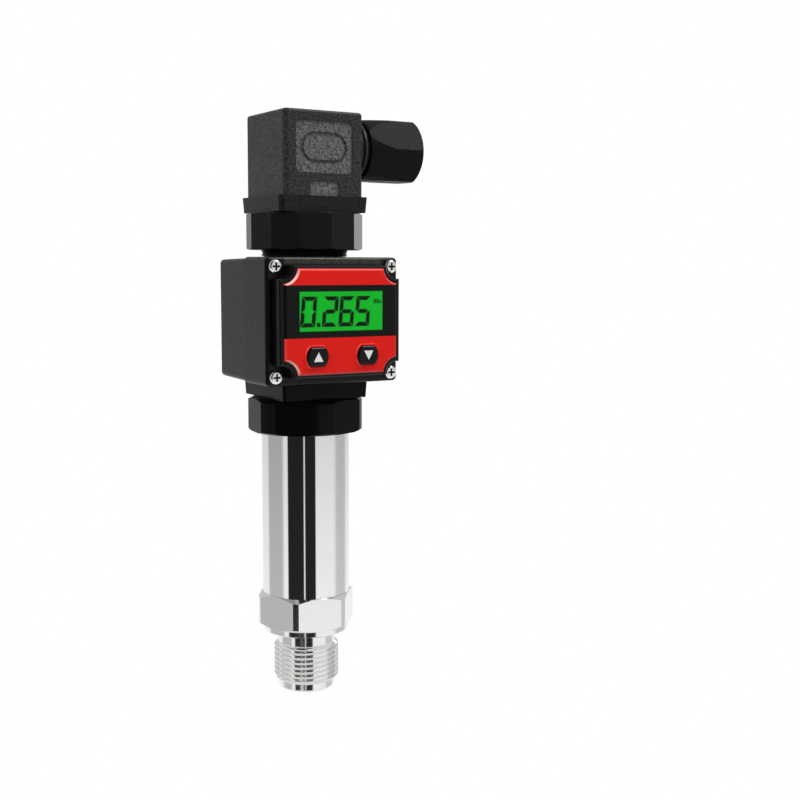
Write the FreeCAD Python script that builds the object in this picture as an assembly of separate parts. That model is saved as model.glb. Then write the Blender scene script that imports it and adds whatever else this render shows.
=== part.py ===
import FreeCAD, Part
import math
import os

# Pressure transmitter with a plug-on digital display and a square cable connector.
#
# From the bottom up: a turned steel process fitting (M20 x 1.5 thread, 27 mm hexagon) with
# the sensing cell inside it, a polished steel housing tube with the amplifier board, a hexagonal
# plastic collar that holds the pin base, a display head that swivels about the vertical axis on
# a hollow spindle, a twelve-sided plug base, and the cable connector with its gland.
#
# Frame, in millimetres: the origin is the centre of the thread's end face, +Z runs up the
# axis, the display looks along -Y and the cable gland points along +X.

Vector = FreeCAD.Vector
UP = Vector(0, 0, 1)
OVER = 1.0                 # how far a cutting tool reaches past what it cuts
JOIN = 0.2                 # how far fused shapes reach into each other

# ---------------------------------------------------------------- driving dimensions

# process fitting
THREAD_R = 10.0            # M20 x 1.5, outer radius
PILOT_R = 8.7              # plain end below the thread
PILOT_TOP = 2.5
PILOT_CHAMFER = 0.7
THREAD_TOP = 13.6
RELIEF_R = 8.8             # groove between thread and shoulder
RELIEF_Z0 = 14.6
RELIEF_CHAMFER = 0.6
SHOULDER_Z = 18.6          # sealing face
SHOULDER_R = 13.1
SHOULDER_CHAMFER = 0.3
HEX_Z0 = 20.4
HEX_Z1 = 30.7
HEX_AF = 27.0
HEX_CORNER_R = 15.1        # bar corners turned down to this radius
HEX_CHAMFER = 30.0         # slope of the turned chamfers, degrees
HEX_TURN = -8.7            # direction of one corner, degrees from +X
PORT_R = 4.0
PORT_TOP = 19.0
CELL_BORE_R = 9.6
CELL_SEAT_Z = 20.5
CELL_SEAT_R = 7.3          # opening inside the cell's seat
SPIGOT_R = 11.8
SPIGOT_TOP = 36.0

# housing tube and sensing cell
TUBE_R = 13.35
TUBE_WALL = 1.5
TUBE_BORE_R = TUBE_R - TUBE_WALL
TUBE_TOP = 87.3
CELL_R = 9.5
CELL_TOP = 31.5
CELL_GROOVE_Z = 25.0       # middle of the groove for the cell's O-ring
CELL_PIN_TOP = 35.0
DIAPHRAGM = 0.25           # its thickness
CELL_O_RING = 0.75         # half the thickness of an O-ring
BASE_O_RING = 0.56

# boards inside the tube
AMP_BOARD = (9.5, 0.8, 38.0, 76.0)     # half width, half thickness, lower and upper end

# lower collar, pin base and socket
COLLAR_Z0 = 80.8
COLLAR_Z1 = 91.3
COLLAR_AF = 32.5
COLLAR_CORNER_R = 17.4
COLLAR_TURN = 23.0         # direction of one corner, degrees from +X
COLLAR_HOLE_R = 11.5
COLLAR_WEB = 2.5           # thickness of the web at its top
PIN_FLANGE = 1.5           # thickness of the pin base's flange
PIN_BASE_DEPTH = 3.0       # how far the pin base reaches into the tube
INSERT_R = 2.55            # brass thread insert
INSERT_RIB_R = 2.2         # root of the insert's groove
GASKET_HALF = 12.0
GASKET_H = 1.1
SOCKET_HALF = 14.1
SOCKET_TAPER = 0.25        # narrower by this at its foot
SOCKET_Z1 = 96.1
SOCKET_FLOOR_Z = 94.2      # top of the socket's floor, on which its insulator sits
LOWER_BLOCK_Z1 = 104.0
HUB_R = 12.4               # journals on which the display head turns
HUB_BORE_R = 10.7
HUB_FIT = 0.06             # running clearance of the journals
HUB_GROOVE_R = 11.7        # root of the snap rings' grooves
SNAP_RING_R = 13.2
SNAP_RING_H = 0.7
SWIVEL_GAP = 0.3           # between the turning head and what is above and below it
TURN_LIMIT = 165           # degrees to either side
STOP_R = (12.75, 13.6)     # arc groove in the socket in which the head's stop lug runs
STOP_DEPTH = 1.0
STOP_LUG = 3.0             # half angle of the lug, degrees
SPINDLE_R = 3.4
SPINDLE_FLANGE = (5.0, 1.0)            # radius and thickness of the flange at either end

# display head
HEAD_HALF_X = 21.6
HEAD_Z0 = SOCKET_Z1 + SWIVEL_GAP
HEAD_Z1 = 133.3
HEAD_MID = (HEAD_Z0 + HEAD_Z1) / 2
HEAD_HALF_Z = (HEAD_Z1 - HEAD_Z0) / 2
HEAD_BACK = 14.9
STEP_Y = -3.9              # the rear part of the case is slightly lower than the front part
STEP_DROP = 0.35
REAR_TAPER = (0.3, 0.4)    # the rear wall is narrower and lower by this on every side
SPLIT_Y = -15.4            # joint between case and cover
PLATE_Y = -18.55           # face on which the cover screws sit
BEZEL_Y = -23.25           # front of the raised block
PANEL_Y = -24.05           # front of the fascia panel
CASE_WALL = 2.0
CASE_EDGE_R = 1.3
PLATE_EDGE_R = 0.9
SCREW_X = 18.9
SCREW_HALF_Z = 15.75
SCREW_R = 1.0
SCREW_REACH = 9.5          # how far the cover screws reach into the case
POST_R = 2.7               # screw posts of the case
BEZEL_HALF_X = 19.6
BEZEL_HALF_Z = 16.0
BEZEL_SCOOP_R = 3.6        # concave corners round the screws
BEZEL_BEVEL = 0.35
BEZEL_WALL = 1.55
PANEL_HALF_X = 18.25
PANEL_HALF_Z = 15.15
PANEL_SCOOP_R = 5.0
PANEL_BEVEL = 0.55
LIP_WIDE = 0.5             # lips of the panel round the keys
LIP_HIGH = 0.3
SEAL_HALF = (21.0, 17.85)  # outline of the cover's seal
SEAL_WIDE = 0.75
SEAL_DEEP = 0.6
LCD_Z = 117.85
LCD_HALF = (15.2, 6.2)     # the front glass; the rear one stands LCD_LEDGE above and below it
LCD_LEDGE = 0.9
LCD_GLASS = (1.0, 0.9)     # thickness of the front and the rear glass
LIGHT_HALF = (14.8, 5.6)
LIGHT_DEEP = 2.7
STRIP_HALF = (14.5, 0.6)   # rubber contact strips
STRIP_OFF = 6.4            # from the middle of the display to each strip
WINDOW_HALF_X = 13.7
WINDOW_HALF_Z = 5.65
BOARD_Y = -17.6            # front of the display board
BOARD_T = 1.6
BOARD_HALF = (16.5, 11.3)
BOARD_TAB = (12.7, 13.6)   # half width of the board's tab and its reach below the middle
BOARD_FIT = 0.3            # space left round the display board
BUTTON_X = 8.2
BUTTON_Z = 104.95
BUTTON_R = 3.4             # round cap with a flat at its top and its bottom
BUTTON_FLAT = 2.7
BUTTON_EDGE_R = 0.45
BUTTON_FRONT = -24.95
BUTTON_BACK = -21.65       # just behind the wall of the cover
BUTTON_FOOT = (0.7, 0.6)   # the foot is wider than the cap by this, and so thick
BUTTON_TRAVEL = 0.5
BUTTON_GAP = 0.15
SWITCH_HALF = 3.0
SWITCH_DEEP = 2.2
PLUNGER_R = 1.2

# upper plug base
NECK_R = 13.0
NECK_WAIST = 0.35          # narrower by this half way up
BASE_Z0 = 135.4
BASE_Z1 = 146.4
BASE_CORNER_R = 17.5       # regular twelve-sided collar
BASE_WEB_Z = 142.4         # underside of the solid web that carries the pins
SEAT_HALF = (12.9, 12.1)   # gasket between the plug base and the connector, and its rim
SEAT_RIM = 0.7
SEAT_H = (0.5, 1.6)        # height of the rim and of the gasket

# connector
FLANGE_Z1 = 151.05
FLANGE_HALF = (14.55, 13.7)
FLANGE_TAPER = 0.3
CONN_HALF = (12.9, 13.35)
CONN_Z1 = 175.6
CONN_EDGE_R = 1.5
CONN_TOP_R = 0.9
CONN_WALL = 2.2
CONN_ROOF = 2.4
WELL_R = (3.6, 5.0)        # well of the fixing screw: bore and outer radius
WELL_DEEP = (4.6, 6.6)     # depth of the bore and of the well's underside
RECESS_HALF = (9.25, 7.45) # grained panel on the front
RECESS_Z = 165.05
RECESS_DEEP = 0.4
OVAL_HALF = (7.6, 4.5)     # raised oval inside it, with an incised line
OVAL_LINE = 1.0
OVAL_DEEP = 0.7
OVAL_Z = 164.9
DATE_HALF_X = 4.7          # small bare rectangle near the rim
DATE_Z1 = 155.2
DATE_DEEP = 0.35
GLAND_Z = 165.9
SPOUT_R = 7.8
SPOUT_END = 26.5
SPOUT_FOOT = (8.0, 16.4)   # radius and end of the spout's foot
SPOUT_RIB = (8.8, 17.1)    # radius and end of the rib beside it
CONE_X = (21.0, 22.2)      # cone in the spout against which the grommet is squeezed
CONE_R = (5.5, 6.3)
WASHER_X0 = 30.0
WASHER_R = (4.6, 7.4)
NUT_SEAT_X = 30.9
NUT_X0 = 18.2
NUT_X1 = 37.0
NUT_AF = 18.3
NUT_FLARE = 8.0            # length over which the round foot grows into the hexagon
NUT_MOUTH_R = 2.5
NUT_FIT = 0.08
CABLE_R = 3.5
NUT_HOLE_R = 5.1

# pins and contacts of the two square plug connections
BLADE = (6.3, 0.8)         # width and thickness of a flat pin
BLADE_PITCH = 9.0          # from the axis to each pin
BLADE_FIT = 0.15           # space left round a pin where it only passes through
CLIP = 0.3                 # thickness of the spring contacts that grip the pins
POCKET_FLOOR = 1.2         # thickness of an insulator under its contacts
BLOCK_Z0 = BASE_Z1 + SEAT_H[1]
BLOCK_Z1 = 159.0
TERMINAL = 6.8             # from either middle plane to a clamping screw
TERMINAL_R = (1.8, 1.9)    # radius of a clamping screw and of its well
TERMINAL_DEEP = 3.0
M3_R = 1.5
M3_HEAD = (2.85, 2.2)      # radius and height of the fixing screw's head
M3_PASS = M3_R + 0.2       # through hole for it
SEAL_H = 0.7               # rubber ring under its head

LOWER_RING_Z = HEAD_Z0 + CASE_WALL + SWIVEL_GAP
UPPER_RING_Z = HEAD_Z1 - CASE_WALL - SWIVEL_GAP - SNAP_RING_H
SCREW_SEAT_Z = CONN_Z1 - WELL_DEEP[0] + SEAL_H


# ---------------------------------------------------------------- small helpers

def box(x0, x1, y0, y1, z0, z1):
    """Block between two corners."""
    return Part.makeBox(x1 - x0, y1 - y0, z1 - z0, Vector(x0, y0, z0))


def cyl_z(radius, z0, z1, x=0.0, y=0.0):
    return Part.makeCylinder(radius, z1 - z0, Vector(x, y, z0), UP)


def cyl_y(radius, y0, y1, x, z):
    return Part.makeCylinder(radius, y1 - y0, Vector(x, y0, z), Vector(0, 1, 0))


def turned(profile):
    """Solid turned about Z from a closed profile of (radius, height) points."""
    points = [Vector(r, 0, z) for r, z in profile]
    wire = Part.makePolygon(points + points[:1])
    return Part.Face(wire).revolve(Vector(0, 0, 0), UP, 360)


def turned_x(profile):
    """Solid turned about the gland's axis from a closed profile of (x, radius) points."""
    points = [Vector(x, 0, GLAND_Z + r) for x, r in profile]
    wire = Part.makePolygon(points + points[:1])
    return Part.Face(wire).revolve(Vector(0, 0, GLAND_Z), Vector(1, 0, 0), 360)


def ring(outer, inner, z0, z1):
    return cyl_z(outer, z0, z1).cut(cyl_z(inner, z0 - OVER, z1 + OVER))


def o_ring(outer, half, z):
    """Seal ring whose round section is pressed to eight flats by its groove."""
    points = []
    for k in range(8):
        angle = math.radians(22.5 + 45 * k)
        reach = half / math.cos(math.radians(22.5))
        points.append((outer - half + reach * math.cos(angle), z + reach * math.sin(angle)))
    return turned(points)


def ring_sector(outer, inner, z0, z1, start, sweep):
    """Part of a flat ring, from the direction start (degrees from +X) over sweep degrees."""
    wire = Part.makePolygon([Vector(inner, 0, z0), Vector(outer, 0, z0), Vector(outer, 0, z1),
                             Vector(inner, 0, z1), Vector(inner, 0, z0)])
    wire.rotate(Vector(0, 0, 0), UP, start)
    return Part.Face(wire).revolve(Vector(0, 0, 0), UP, sweep)


def prism(sides, corner_radius, z0, z1, turn):
    """Regular prism about Z with one corner in the direction turn."""
    corners = []
    for k in range(sides):
        angle = math.radians(turn + 360.0 * k / sides)
        corners.append(Vector(corner_radius * math.cos(angle), corner_radius * math.sin(angle), z0))
    return Part.Face(Part.makePolygon(corners + corners[:1])).extrude(Vector(0, 0, z1 - z0))


def hexagon_corner(across_flats):
    return across_flats / 2 / math.cos(math.radians(30))


def rounded_wire(half_u, half_v, radius, level, centre=(0.0, 0.0)):
    """Rounded rectangle in a plane of constant Z."""
    u0, v0 = centre
    a, b = half_u - radius, half_v - radius
    edges = []
    for k, (su, sv) in enumerate([(1, 1), (-1, 1), (-1, -1), (1, -1)]):
        hub = Vector(u0 + su * a, v0 + sv * b, level)
        edges.append(Part.makeCircle(radius, hub, UP, 90.0 * k, 90.0 * (k + 1)))
    joined = []
    for k, arc in enumerate(edges):
        joined.append(arc)
        end = arc.Vertexes[-1].Point
        start = edges[(k + 1) % 4].Vertexes[0].Point
        joined.append(Part.makeLine(end, start))
    return Part.Wire(joined)


def post(half_u, half_v, radius, z0, z1, centre=(0.0, 0.0)):
    """Upright rounded block."""
    return Part.Face(rounded_wire(half_u, half_v, radius, z0, centre)).extrude(Vector(0, 0, z1 - z0))


def tapered_post(lower, upper, radius, z0, z1):
    """Upright rounded block whose half sizes change from lower to upper."""
    wires = [rounded_wire(lower[0], lower[1], radius, z0), rounded_wire(upper[0], upper[1], radius, z1)]
    return Part.makeLoft(wires, True)


def stand(shape):
    """Turn what was drawn lying, with height as Y and depth as -Z, to face along -Y."""
    shape.rotate(Vector(0, 0, 0), Vector(1, 0, 0), 90)
    return shape


def slab(half_x, half_z, radius, y0, y1, centre=(0.0, HEAD_MID)):
    """Rounded plate in the XZ plane between two depths."""
    return stand(post(half_x, half_z, radius, -y1, -y0, centre))


def edges_at(shape, axis, value):
    """Edges that lie wholly in the plane axis = value."""
    found = []
    for edge in shape.Edges:
        low = getattr(edge.BoundBox, axis + "Min")
        high = getattr(edge.BoundBox, axis + "Max")
        if abs(low - value) < 1e-4 and abs(high - value) < 1e-4:
            found.append(edge)
    return found


def cut_all(shape, tools):
    for tool in tools:
        shape = shape.cut(tool)
    return shape


def corners_of(half_u, half_v):
    """The four corners of a rectangle round the origin."""
    return [(su * half_u, sv * half_v) for su in (-1, 1) for sv in (-1, 1)]


def screw_places():
    """Centres of the four cover screws, as (x, z)."""
    return [(x, HEAD_MID + dz) for x, dz in corners_of(SCREW_X, SCREW_HALF_Z)]


def blade(x, y, turned_round, z0, z1, extra=0.0):
    """Flat pin, or with extra the slot that clears it."""
    width = BLADE[0] / 2 + extra
    thick = BLADE[1] / 2 + extra
    if turned_round:
        width, thick = thick, width
    return box(x - width, x + width, y - thick, y + thick, z0, z1)


def blade_places():
    """The four flat pins round the axis: (x, y, turned through a right angle or not)."""
    return [(BLADE_PITCH, 0, True), (-BLADE_PITCH, 0, True), (0, BLADE_PITCH, False),
            (0, -BLADE_PITCH, False)]


def blades(z0, z1, extra=0.0):
    return [blade(x, y, flag, z0, z1, extra) for x, y, flag in blade_places()]


# ---------------------------------------------------------------- process fitting and tube

def process_fitting():
    """Thread, relief groove, sealing shoulder, hexagon and spigot turned from one bar."""
    lead = THREAD_R - PILOT_R
    inside = HEX_Z0 + JOIN
    body = turned([
        (0, 0), (PILOT_R - PILOT_CHAMFER, 0), (PILOT_R, PILOT_CHAMFER), (PILOT_R, PILOT_TOP),
        (THREAD_R, PILOT_TOP + lead), (THREAD_R, THREAD_TOP),
        (RELIEF_R, RELIEF_Z0), (RELIEF_R, SHOULDER_Z - RELIEF_CHAMFER),
        (RELIEF_R + RELIEF_CHAMFER, SHOULDER_Z), (SHOULDER_R - SHOULDER_CHAMFER, SHOULDER_Z),
        (SHOULDER_R, SHOULDER_Z + SHOULDER_CHAMFER), (SHOULDER_R, inside),
        (SPIGOT_R, inside), (SPIGOT_R, SPIGOT_TOP), (0, SPIGOT_TOP)])
    bar = prism(6, hexagon_corner(HEX_AF), HEX_Z0, HEX_Z1, HEX_TURN)
    start = HEX_AF / 2 - JOIN
    rise = (HEX_CORNER_R - start) * math.tan(math.radians(HEX_CHAMFER))
    envelope = turned([
        (0, HEX_Z0), (start, HEX_Z0), (HEX_CORNER_R, HEX_Z0 + rise),
        (HEX_CORNER_R, HEX_Z1 - rise), (start, HEX_Z1), (0, HEX_Z1)])
    body = body.fuse(bar.common(envelope))
    port = turned([
        (0, -OVER), (PORT_R, -OVER), (PORT_R, PORT_TOP),
        (CELL_SEAT_R, PORT_TOP + 0.5), (CELL_SEAT_R, CELL_SEAT_Z), (CELL_BORE_R, CELL_SEAT_Z),
        (CELL_BORE_R, SPIGOT_TOP + OVER), (0, SPIGOT_TOP + OVER)])
    return body.cut(port).removeSplitter()


def housing_tube():
    """Polished tube, pushed over the fitting's spigot and welded at the hexagon."""
    foot, mouth = 0.15, 0.4            # chamfers at either end
    return turned([
        (TUBE_BORE_R, HEX_Z1), (TUBE_R - foot, HEX_Z1), (TUBE_R, HEX_Z1 + foot),
        (TUBE_R, TUBE_TOP - mouth), (TUBE_R - mouth, TUBE_TOP), (TUBE_BORE_R, TUBE_TOP)])


def cell_diaphragm():
    """Thin steel diaphragm with three round convolutions, welded to the cell's lower face."""
    wave, half_wave = 0.22, 0.5
    lower = [(0.0, 0.0), (2.0, 0.0)]
    for crest in (3.2, 4.8, 6.4):
        lower += [(crest - half_wave, 0.0), (crest, wave), (crest + half_wave, 0.0)]
    lower.append((CELL_R - 0.3, 0.0))
    upper = [(r, h + DIAPHRAGM) for r, h in reversed(lower)]
    return turned([(r, CELL_SEAT_Z + h) for r, h in lower + upper])


def sensor_cell():
    """Oil-filled pressure cell with a groove for its O-ring and five glass-sealed pins on top."""
    rim = CELL_SEAT_Z + DIAPHRAGM
    rim_r = CELL_R - 2.0
    root = CELL_BORE_R - 2 * CELL_O_RING
    low, high = CELL_GROOVE_Z - 1.0, CELL_GROOVE_Z + 1.0
    chamfer = 0.3
    body = turned([
        (0, rim + 0.6), (rim_r, rim + 0.6), (rim_r, rim), (CELL_R - chamfer, rim),
        (CELL_R, rim + chamfer), (CELL_R, low), (root, low), (root, high), (CELL_R, high),
        (CELL_R, CELL_TOP), (0, CELL_TOP)])
    pin_r, circle, pins = 0.4, 4.2, 5
    for k in range(pins):
        angle = 2 * math.pi * k / pins
        x, y = circle * math.cos(angle), circle * math.sin(angle)
        body = body.fuse(cyl_z(pin_r, CELL_TOP - JOIN, CELL_PIN_TOP, x, y))
    return body


def cell_o_ring():
    return o_ring(CELL_BORE_R, CELL_O_RING, CELL_GROOVE_Z)


def cell_ring():
    """Threaded ring that presses the cell on its seat, with two spanner notches."""
    height, opening, notch_z = 3.0, 6.6, 1.6
    body = ring(CELL_BORE_R, opening, CELL_TOP, CELL_TOP + height)
    notch = box(-CELL_R - OVER, CELL_R + OVER, -1.0, 1.0, CELL_TOP + notch_z, CELL_TOP + height + OVER)
    return body.cut(notch)


def amplifier_board():
    half_x, half_y, z0, z1 = AMP_BOARD
    return box(-half_x, half_x, -half_y, half_y, z0, z1)


def amplifier_parts():
    """Parts soldered to the amplifier board: chip, regulator, two capacitors, two trimmers."""
    front = AMP_BOARD[1]
    pair = (-4.0, 4.0)
    chip = box(-3.5, 3.5, front, front + 1.6, 52.0, 59.0)
    regulator = box(-3.2, 3.2, front, front + 1.8, 44.0, 48.0)
    trimmers = [box(x - 1.7, x + 1.7, -4.0, -front, 68.0, 73.0) for x in pair]
    caps = [cyl_y(2.0, front, front + 4.4, x, 66.0) for x in pair]
    return Part.makeCompound([chip, regulator] + trimmers + caps)


def sensor_ribbon():
    """Flat lead from the cell's pins up to the amplifier board."""
    half_width, thick, top = 5.0, 0.6, 44.0
    back = -AMP_BOARD[1]
    return box(-half_width, half_width, back - thick, back, CELL_PIN_TOP, top)


def output_leads():
    """Three insulated leads from the amplifier board up to the pin base."""
    lead_r, start, pitch = 0.6, 73.0, 6.0
    y = AMP_BOARD[1] + lead_r
    top = TUBE_TOP - PIN_BASE_DEPTH
    return Part.makeCompound([cyl_z(lead_r, start, top, k * pitch, y) for k in (-1, 0, 1)])


# ---------------------------------------------------------------- lower collar, pin base, socket

def lower_collar():
    """Hexagonal union nut of black plastic, corners turned down, both ends chamfered."""
    bar = prism(6, hexagon_corner(COLLAR_AF), COLLAR_Z0, COLLAR_Z1, COLLAR_TURN)
    envelope = turned([
        (0, COLLAR_Z0), (COLLAR_CORNER_R - 0.8, COLLAR_Z0), (COLLAR_CORNER_R, COLLAR_Z0 + 0.5),
        (COLLAR_CORNER_R, COLLAR_Z1 - 1.0), (COLLAR_CORNER_R - 2.0, COLLAR_Z1), (0, COLLAR_Z1)])
    web = COLLAR_Z1 - COLLAR_WEB
    inner = TUBE_R + 0.05
    bore = turned([
        (0, COLLAR_Z0 - OVER), (inner + OVER, COLLAR_Z0 - OVER), (inner, COLLAR_Z0 + 0.5),
        (inner, web), (COLLAR_HOLE_R, web), (COLLAR_HOLE_R, COLLAR_Z1 + OVER), (0, COLLAR_Z1 + OVER)])
    return bar.common(envelope).cut(bore)


def lower_pin_base():
    """Pin carrier seated on the tube's end under the collar's web."""
    foot = TUBE_TOP - PIN_BASE_DEPTH
    flange_top = TUBE_TOP + PIN_FLANGE
    fit_tube, fit_hole = TUBE_BORE_R - 0.1, COLLAR_HOLE_R - 0.1
    flange_r = TUBE_R - 0.05
    body = turned([
        (0, foot), (fit_tube, foot), (fit_tube, TUBE_TOP), (flange_r, TUBE_TOP),
        (flange_r, flange_top), (fit_hole, flange_top), (fit_hole, COLLAR_Z1), (0, COLLAR_Z1)])
    root = TUBE_BORE_R - 2 * BASE_O_RING
    groove = ring(TUBE_BORE_R, root, TUBE_TOP - 2.0, TUBE_TOP - 0.8)
    insert = cyl_z(INSERT_R + 0.05, TUBE_TOP - 2.5, COLLAR_Z1 + OVER)
    return cut_all(body, [groove, insert] + blades(foot - OVER, COLLAR_Z1 + OVER))


def base_o_ring():
    """Seal between the pin base and the tube's inner wall."""
    return o_ring(TUBE_BORE_R, BASE_O_RING, TUBE_TOP - 1.4)


def thread_insert():
    """Brass insert in the pin base that takes the long fixing screw."""
    body = ring(INSERT_R, M3_R + 0.03, TUBE_TOP - 2.5, COLLAR_Z1 - 0.3)
    half_groove = 0.4
    return body.cut(ring(INSERT_R + OVER, INSERT_RIB_R, TUBE_TOP - half_groove, TUBE_TOP + half_groove))


def lower_pins():
    below, above = 4.5, 9.5
    return Part.makeCompound(blades(TUBE_TOP - below, COLLAR_Z1 + above))


def lower_gasket():
    """Square flat gasket between the collar and the socket, slotted for the pins."""
    top = COLLAR_Z1 + GASKET_H
    body = post(GASKET_HALF, GASKET_HALF, 1.5, COLLAR_Z1, top)
    hole = cyl_z(2.2, COLLAR_Z1 - OVER, top + OVER)
    return cut_all(body, [hole] + blades(COLLAR_Z1 - OVER, top + OVER, BLADE_FIT))


def journal(z0, z1, groove_z):
    """Short hub with a groove for its snap ring."""
    groove_top = groove_z + SNAP_RING_H
    return turned([
        (0, z0), (HUB_R, z0), (HUB_R, groove_z), (HUB_GROOVE_R, groove_z),
        (HUB_GROOVE_R, groove_top), (HUB_R, groove_top), (HUB_R, z1), (0, z1)])


def lower_socket():
    """Square socket housing with the lower journal of the swivel moulded on top.

    An arc groove in its upper face, open over all but the rear, limits the head's turn."""
    foot = COLLAR_Z1 + 0.05
    low = SOCKET_HALF - SOCKET_TAPER
    body = tapered_post((low, low), (SOCKET_HALF, SOCKET_HALF), 1.0, foot, SOCKET_Z1)
    hub_top = LOWER_RING_Z + 1.7
    body = body.fuse(journal(SOCKET_Z1 - OVER, hub_top, LOWER_RING_Z))
    seat_half = GASKET_HALF + 0.1
    seat = post(seat_half, seat_half, 1.6, foot - OVER, COLLAR_Z1 + GASKET_H)
    half_groove = TURN_LIMIT + STOP_LUG + 0.5
    groove = ring_sector(STOP_R[1], STOP_R[0], SOCKET_Z1 - STOP_DEPTH, SOCKET_Z1 + OVER,
                         -90 - half_groove, 2 * half_groove)
    hollow = cyl_z(HUB_BORE_R, SOCKET_FLOOR_Z, hub_top + OVER)
    screw = cyl_z(M3_PASS, foot - OVER, hub_top)
    slots = blades(foot - OVER, hub_top, BLADE_FIT)
    return cut_all(body, [seat, groove, hollow, screw] + slots).removeSplitter()


def contact_block(body, z0, z1):
    """Insulator with four pockets for the spring contacts and a hole for the screw."""
    floor = z0 + POCKET_FLOOR
    pockets = blades(floor, z1, CLIP + 0.1)
    mouths = blades(z0 - OVER, floor + JOIN, BLADE_FIT)
    return cut_all(body, pockets + mouths + [cyl_z(M3_PASS, z0 - OVER, z1 + OVER)])


def lower_block():
    """Round insulator in the socket, its contact pockets open above."""
    body = cyl_z(HUB_BORE_R - 0.1, SOCKET_FLOOR_Z, LOWER_BLOCK_Z1)
    return contact_block(body, SOCKET_FLOOR_Z, LOWER_BLOCK_Z1 + OVER)


def spring_contacts(z0, z1):
    """Folded clips, one in each pocket, that grip the flat pins."""
    clips = []
    web = 0.6                          # thickness of the fold at the top
    for x, y, flag in blade_places():
        clip = blade(x, y, flag, z0, z1, CLIP)
        clips.append(clip.cut(blade(x, y, flag, z0 - OVER, z1 - web, 0.02)))
    return Part.makeCompound(clips)


def lower_contacts():
    return spring_contacts(SOCKET_FLOOR_Z + POCKET_FLOOR, LOWER_BLOCK_Z1 - 0.6)


# ---------------------------------------------------------------- swivel

def lower_snap_ring():
    """Snap ring on the lower journal, just above the case's bottom wall."""
    return ring(SNAP_RING_R, HUB_GROOVE_R, LOWER_RING_Z, LOWER_RING_Z + SNAP_RING_H)


def upper_snap_ring():
    """Snap ring on the upper journal, just below the case's top wall."""
    return ring(SNAP_RING_R, HUB_GROOVE_R, UPPER_RING_Z, UPPER_RING_Z + SNAP_RING_H)


def spindle():
    """Hollow spindle between the two plug connections, flanged at both ends."""
    z0, z1 = LOWER_BLOCK_Z1, BASE_WEB_Z
    wide, thick = SPINDLE_FLANGE
    slope = thick + 0.6
    return turned([
        (M3_PASS, z0), (wide, z0), (wide, z0 + thick), (SPINDLE_R, z0 + slope),
        (SPINDLE_R, z1 - slope), (wide, z1 - thick), (wide, z1), (M3_PASS, z1)])


# ---------------------------------------------------------------- display head

def display_case():
    """Rear shell: open in front, bored above and below for the journals, four screw posts."""
    band = slab(HEAD_HALF_X, HEAD_HALF_Z, CASE_EDGE_R, SPLIT_Y, STEP_Y)
    rear_half = HEAD_HALF_Z - STEP_DROP
    back_half = (HEAD_HALF_X - REAR_TAPER[0], rear_half - REAR_TAPER[1])
    centre = (0, HEAD_MID)
    wires = [rounded_wire(HEAD_HALF_X, rear_half, CASE_EDGE_R, -STEP_Y + OVER, centre),
             rounded_wire(back_half[0], back_half[1], CASE_EDGE_R, -HEAD_BACK, centre)]
    rear = stand(Part.makeLoft(wires, True))
    rear = rear.makeFillet(0.8, edges_at(rear, "Y", HEAD_BACK))
    body = band.fuse(rear)
    hollow = slab(HEAD_HALF_X - CASE_WALL - 0.2, HEAD_HALF_Z - CASE_WALL, 1.0,
                  SPLIT_Y - OVER, HEAD_BACK - CASE_WALL)
    post_end = SPLIT_Y + SCREW_REACH + 3.5
    for x, z in screw_places():
        hollow = hollow.cut(cyl_y(POST_R, SPLIT_Y - 2 * OVER, post_end, x, z))
    tools = [hollow, cyl_z(SNAP_RING_R + SWIVEL_GAP, HEAD_Z0 + CASE_WALL, HEAD_Z1 - CASE_WALL)]
    hole_r, hole_end = SCREW_R + 0.02, SPLIT_Y + SCREW_REACH + 1.0
    tools += [cyl_y(hole_r, SPLIT_Y - OVER, hole_end, x, z) for x, z in screw_places()]
    tools.append(cyl_z(HUB_R + HUB_FIT, HEAD_Z0 - OVER, HEAD_Z1 + OVER))
    fit = 0.15
    lug = ring_sector(STOP_R[1] - fit, STOP_R[0] + fit, HEAD_Z0 - STOP_DEPTH, HEAD_Z0 + JOIN,
                      -90 - STOP_LUG, 2 * STOP_LUG)
    return cut_all(body, tools).fuse(lug).removeSplitter()


def button_outline(extra, y0, y1, x):
    """Round cap with a flat above and below, grown by extra on every side."""
    flat = BUTTON_FLAT + extra
    wide = BUTTON_R + extra
    disc = cyl_y(wide, y0, y1, x, BUTTON_Z)
    return disc.common(box(x - wide, x + wide, y0, y1, BUTTON_Z - flat, BUTTON_Z + flat))


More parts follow.
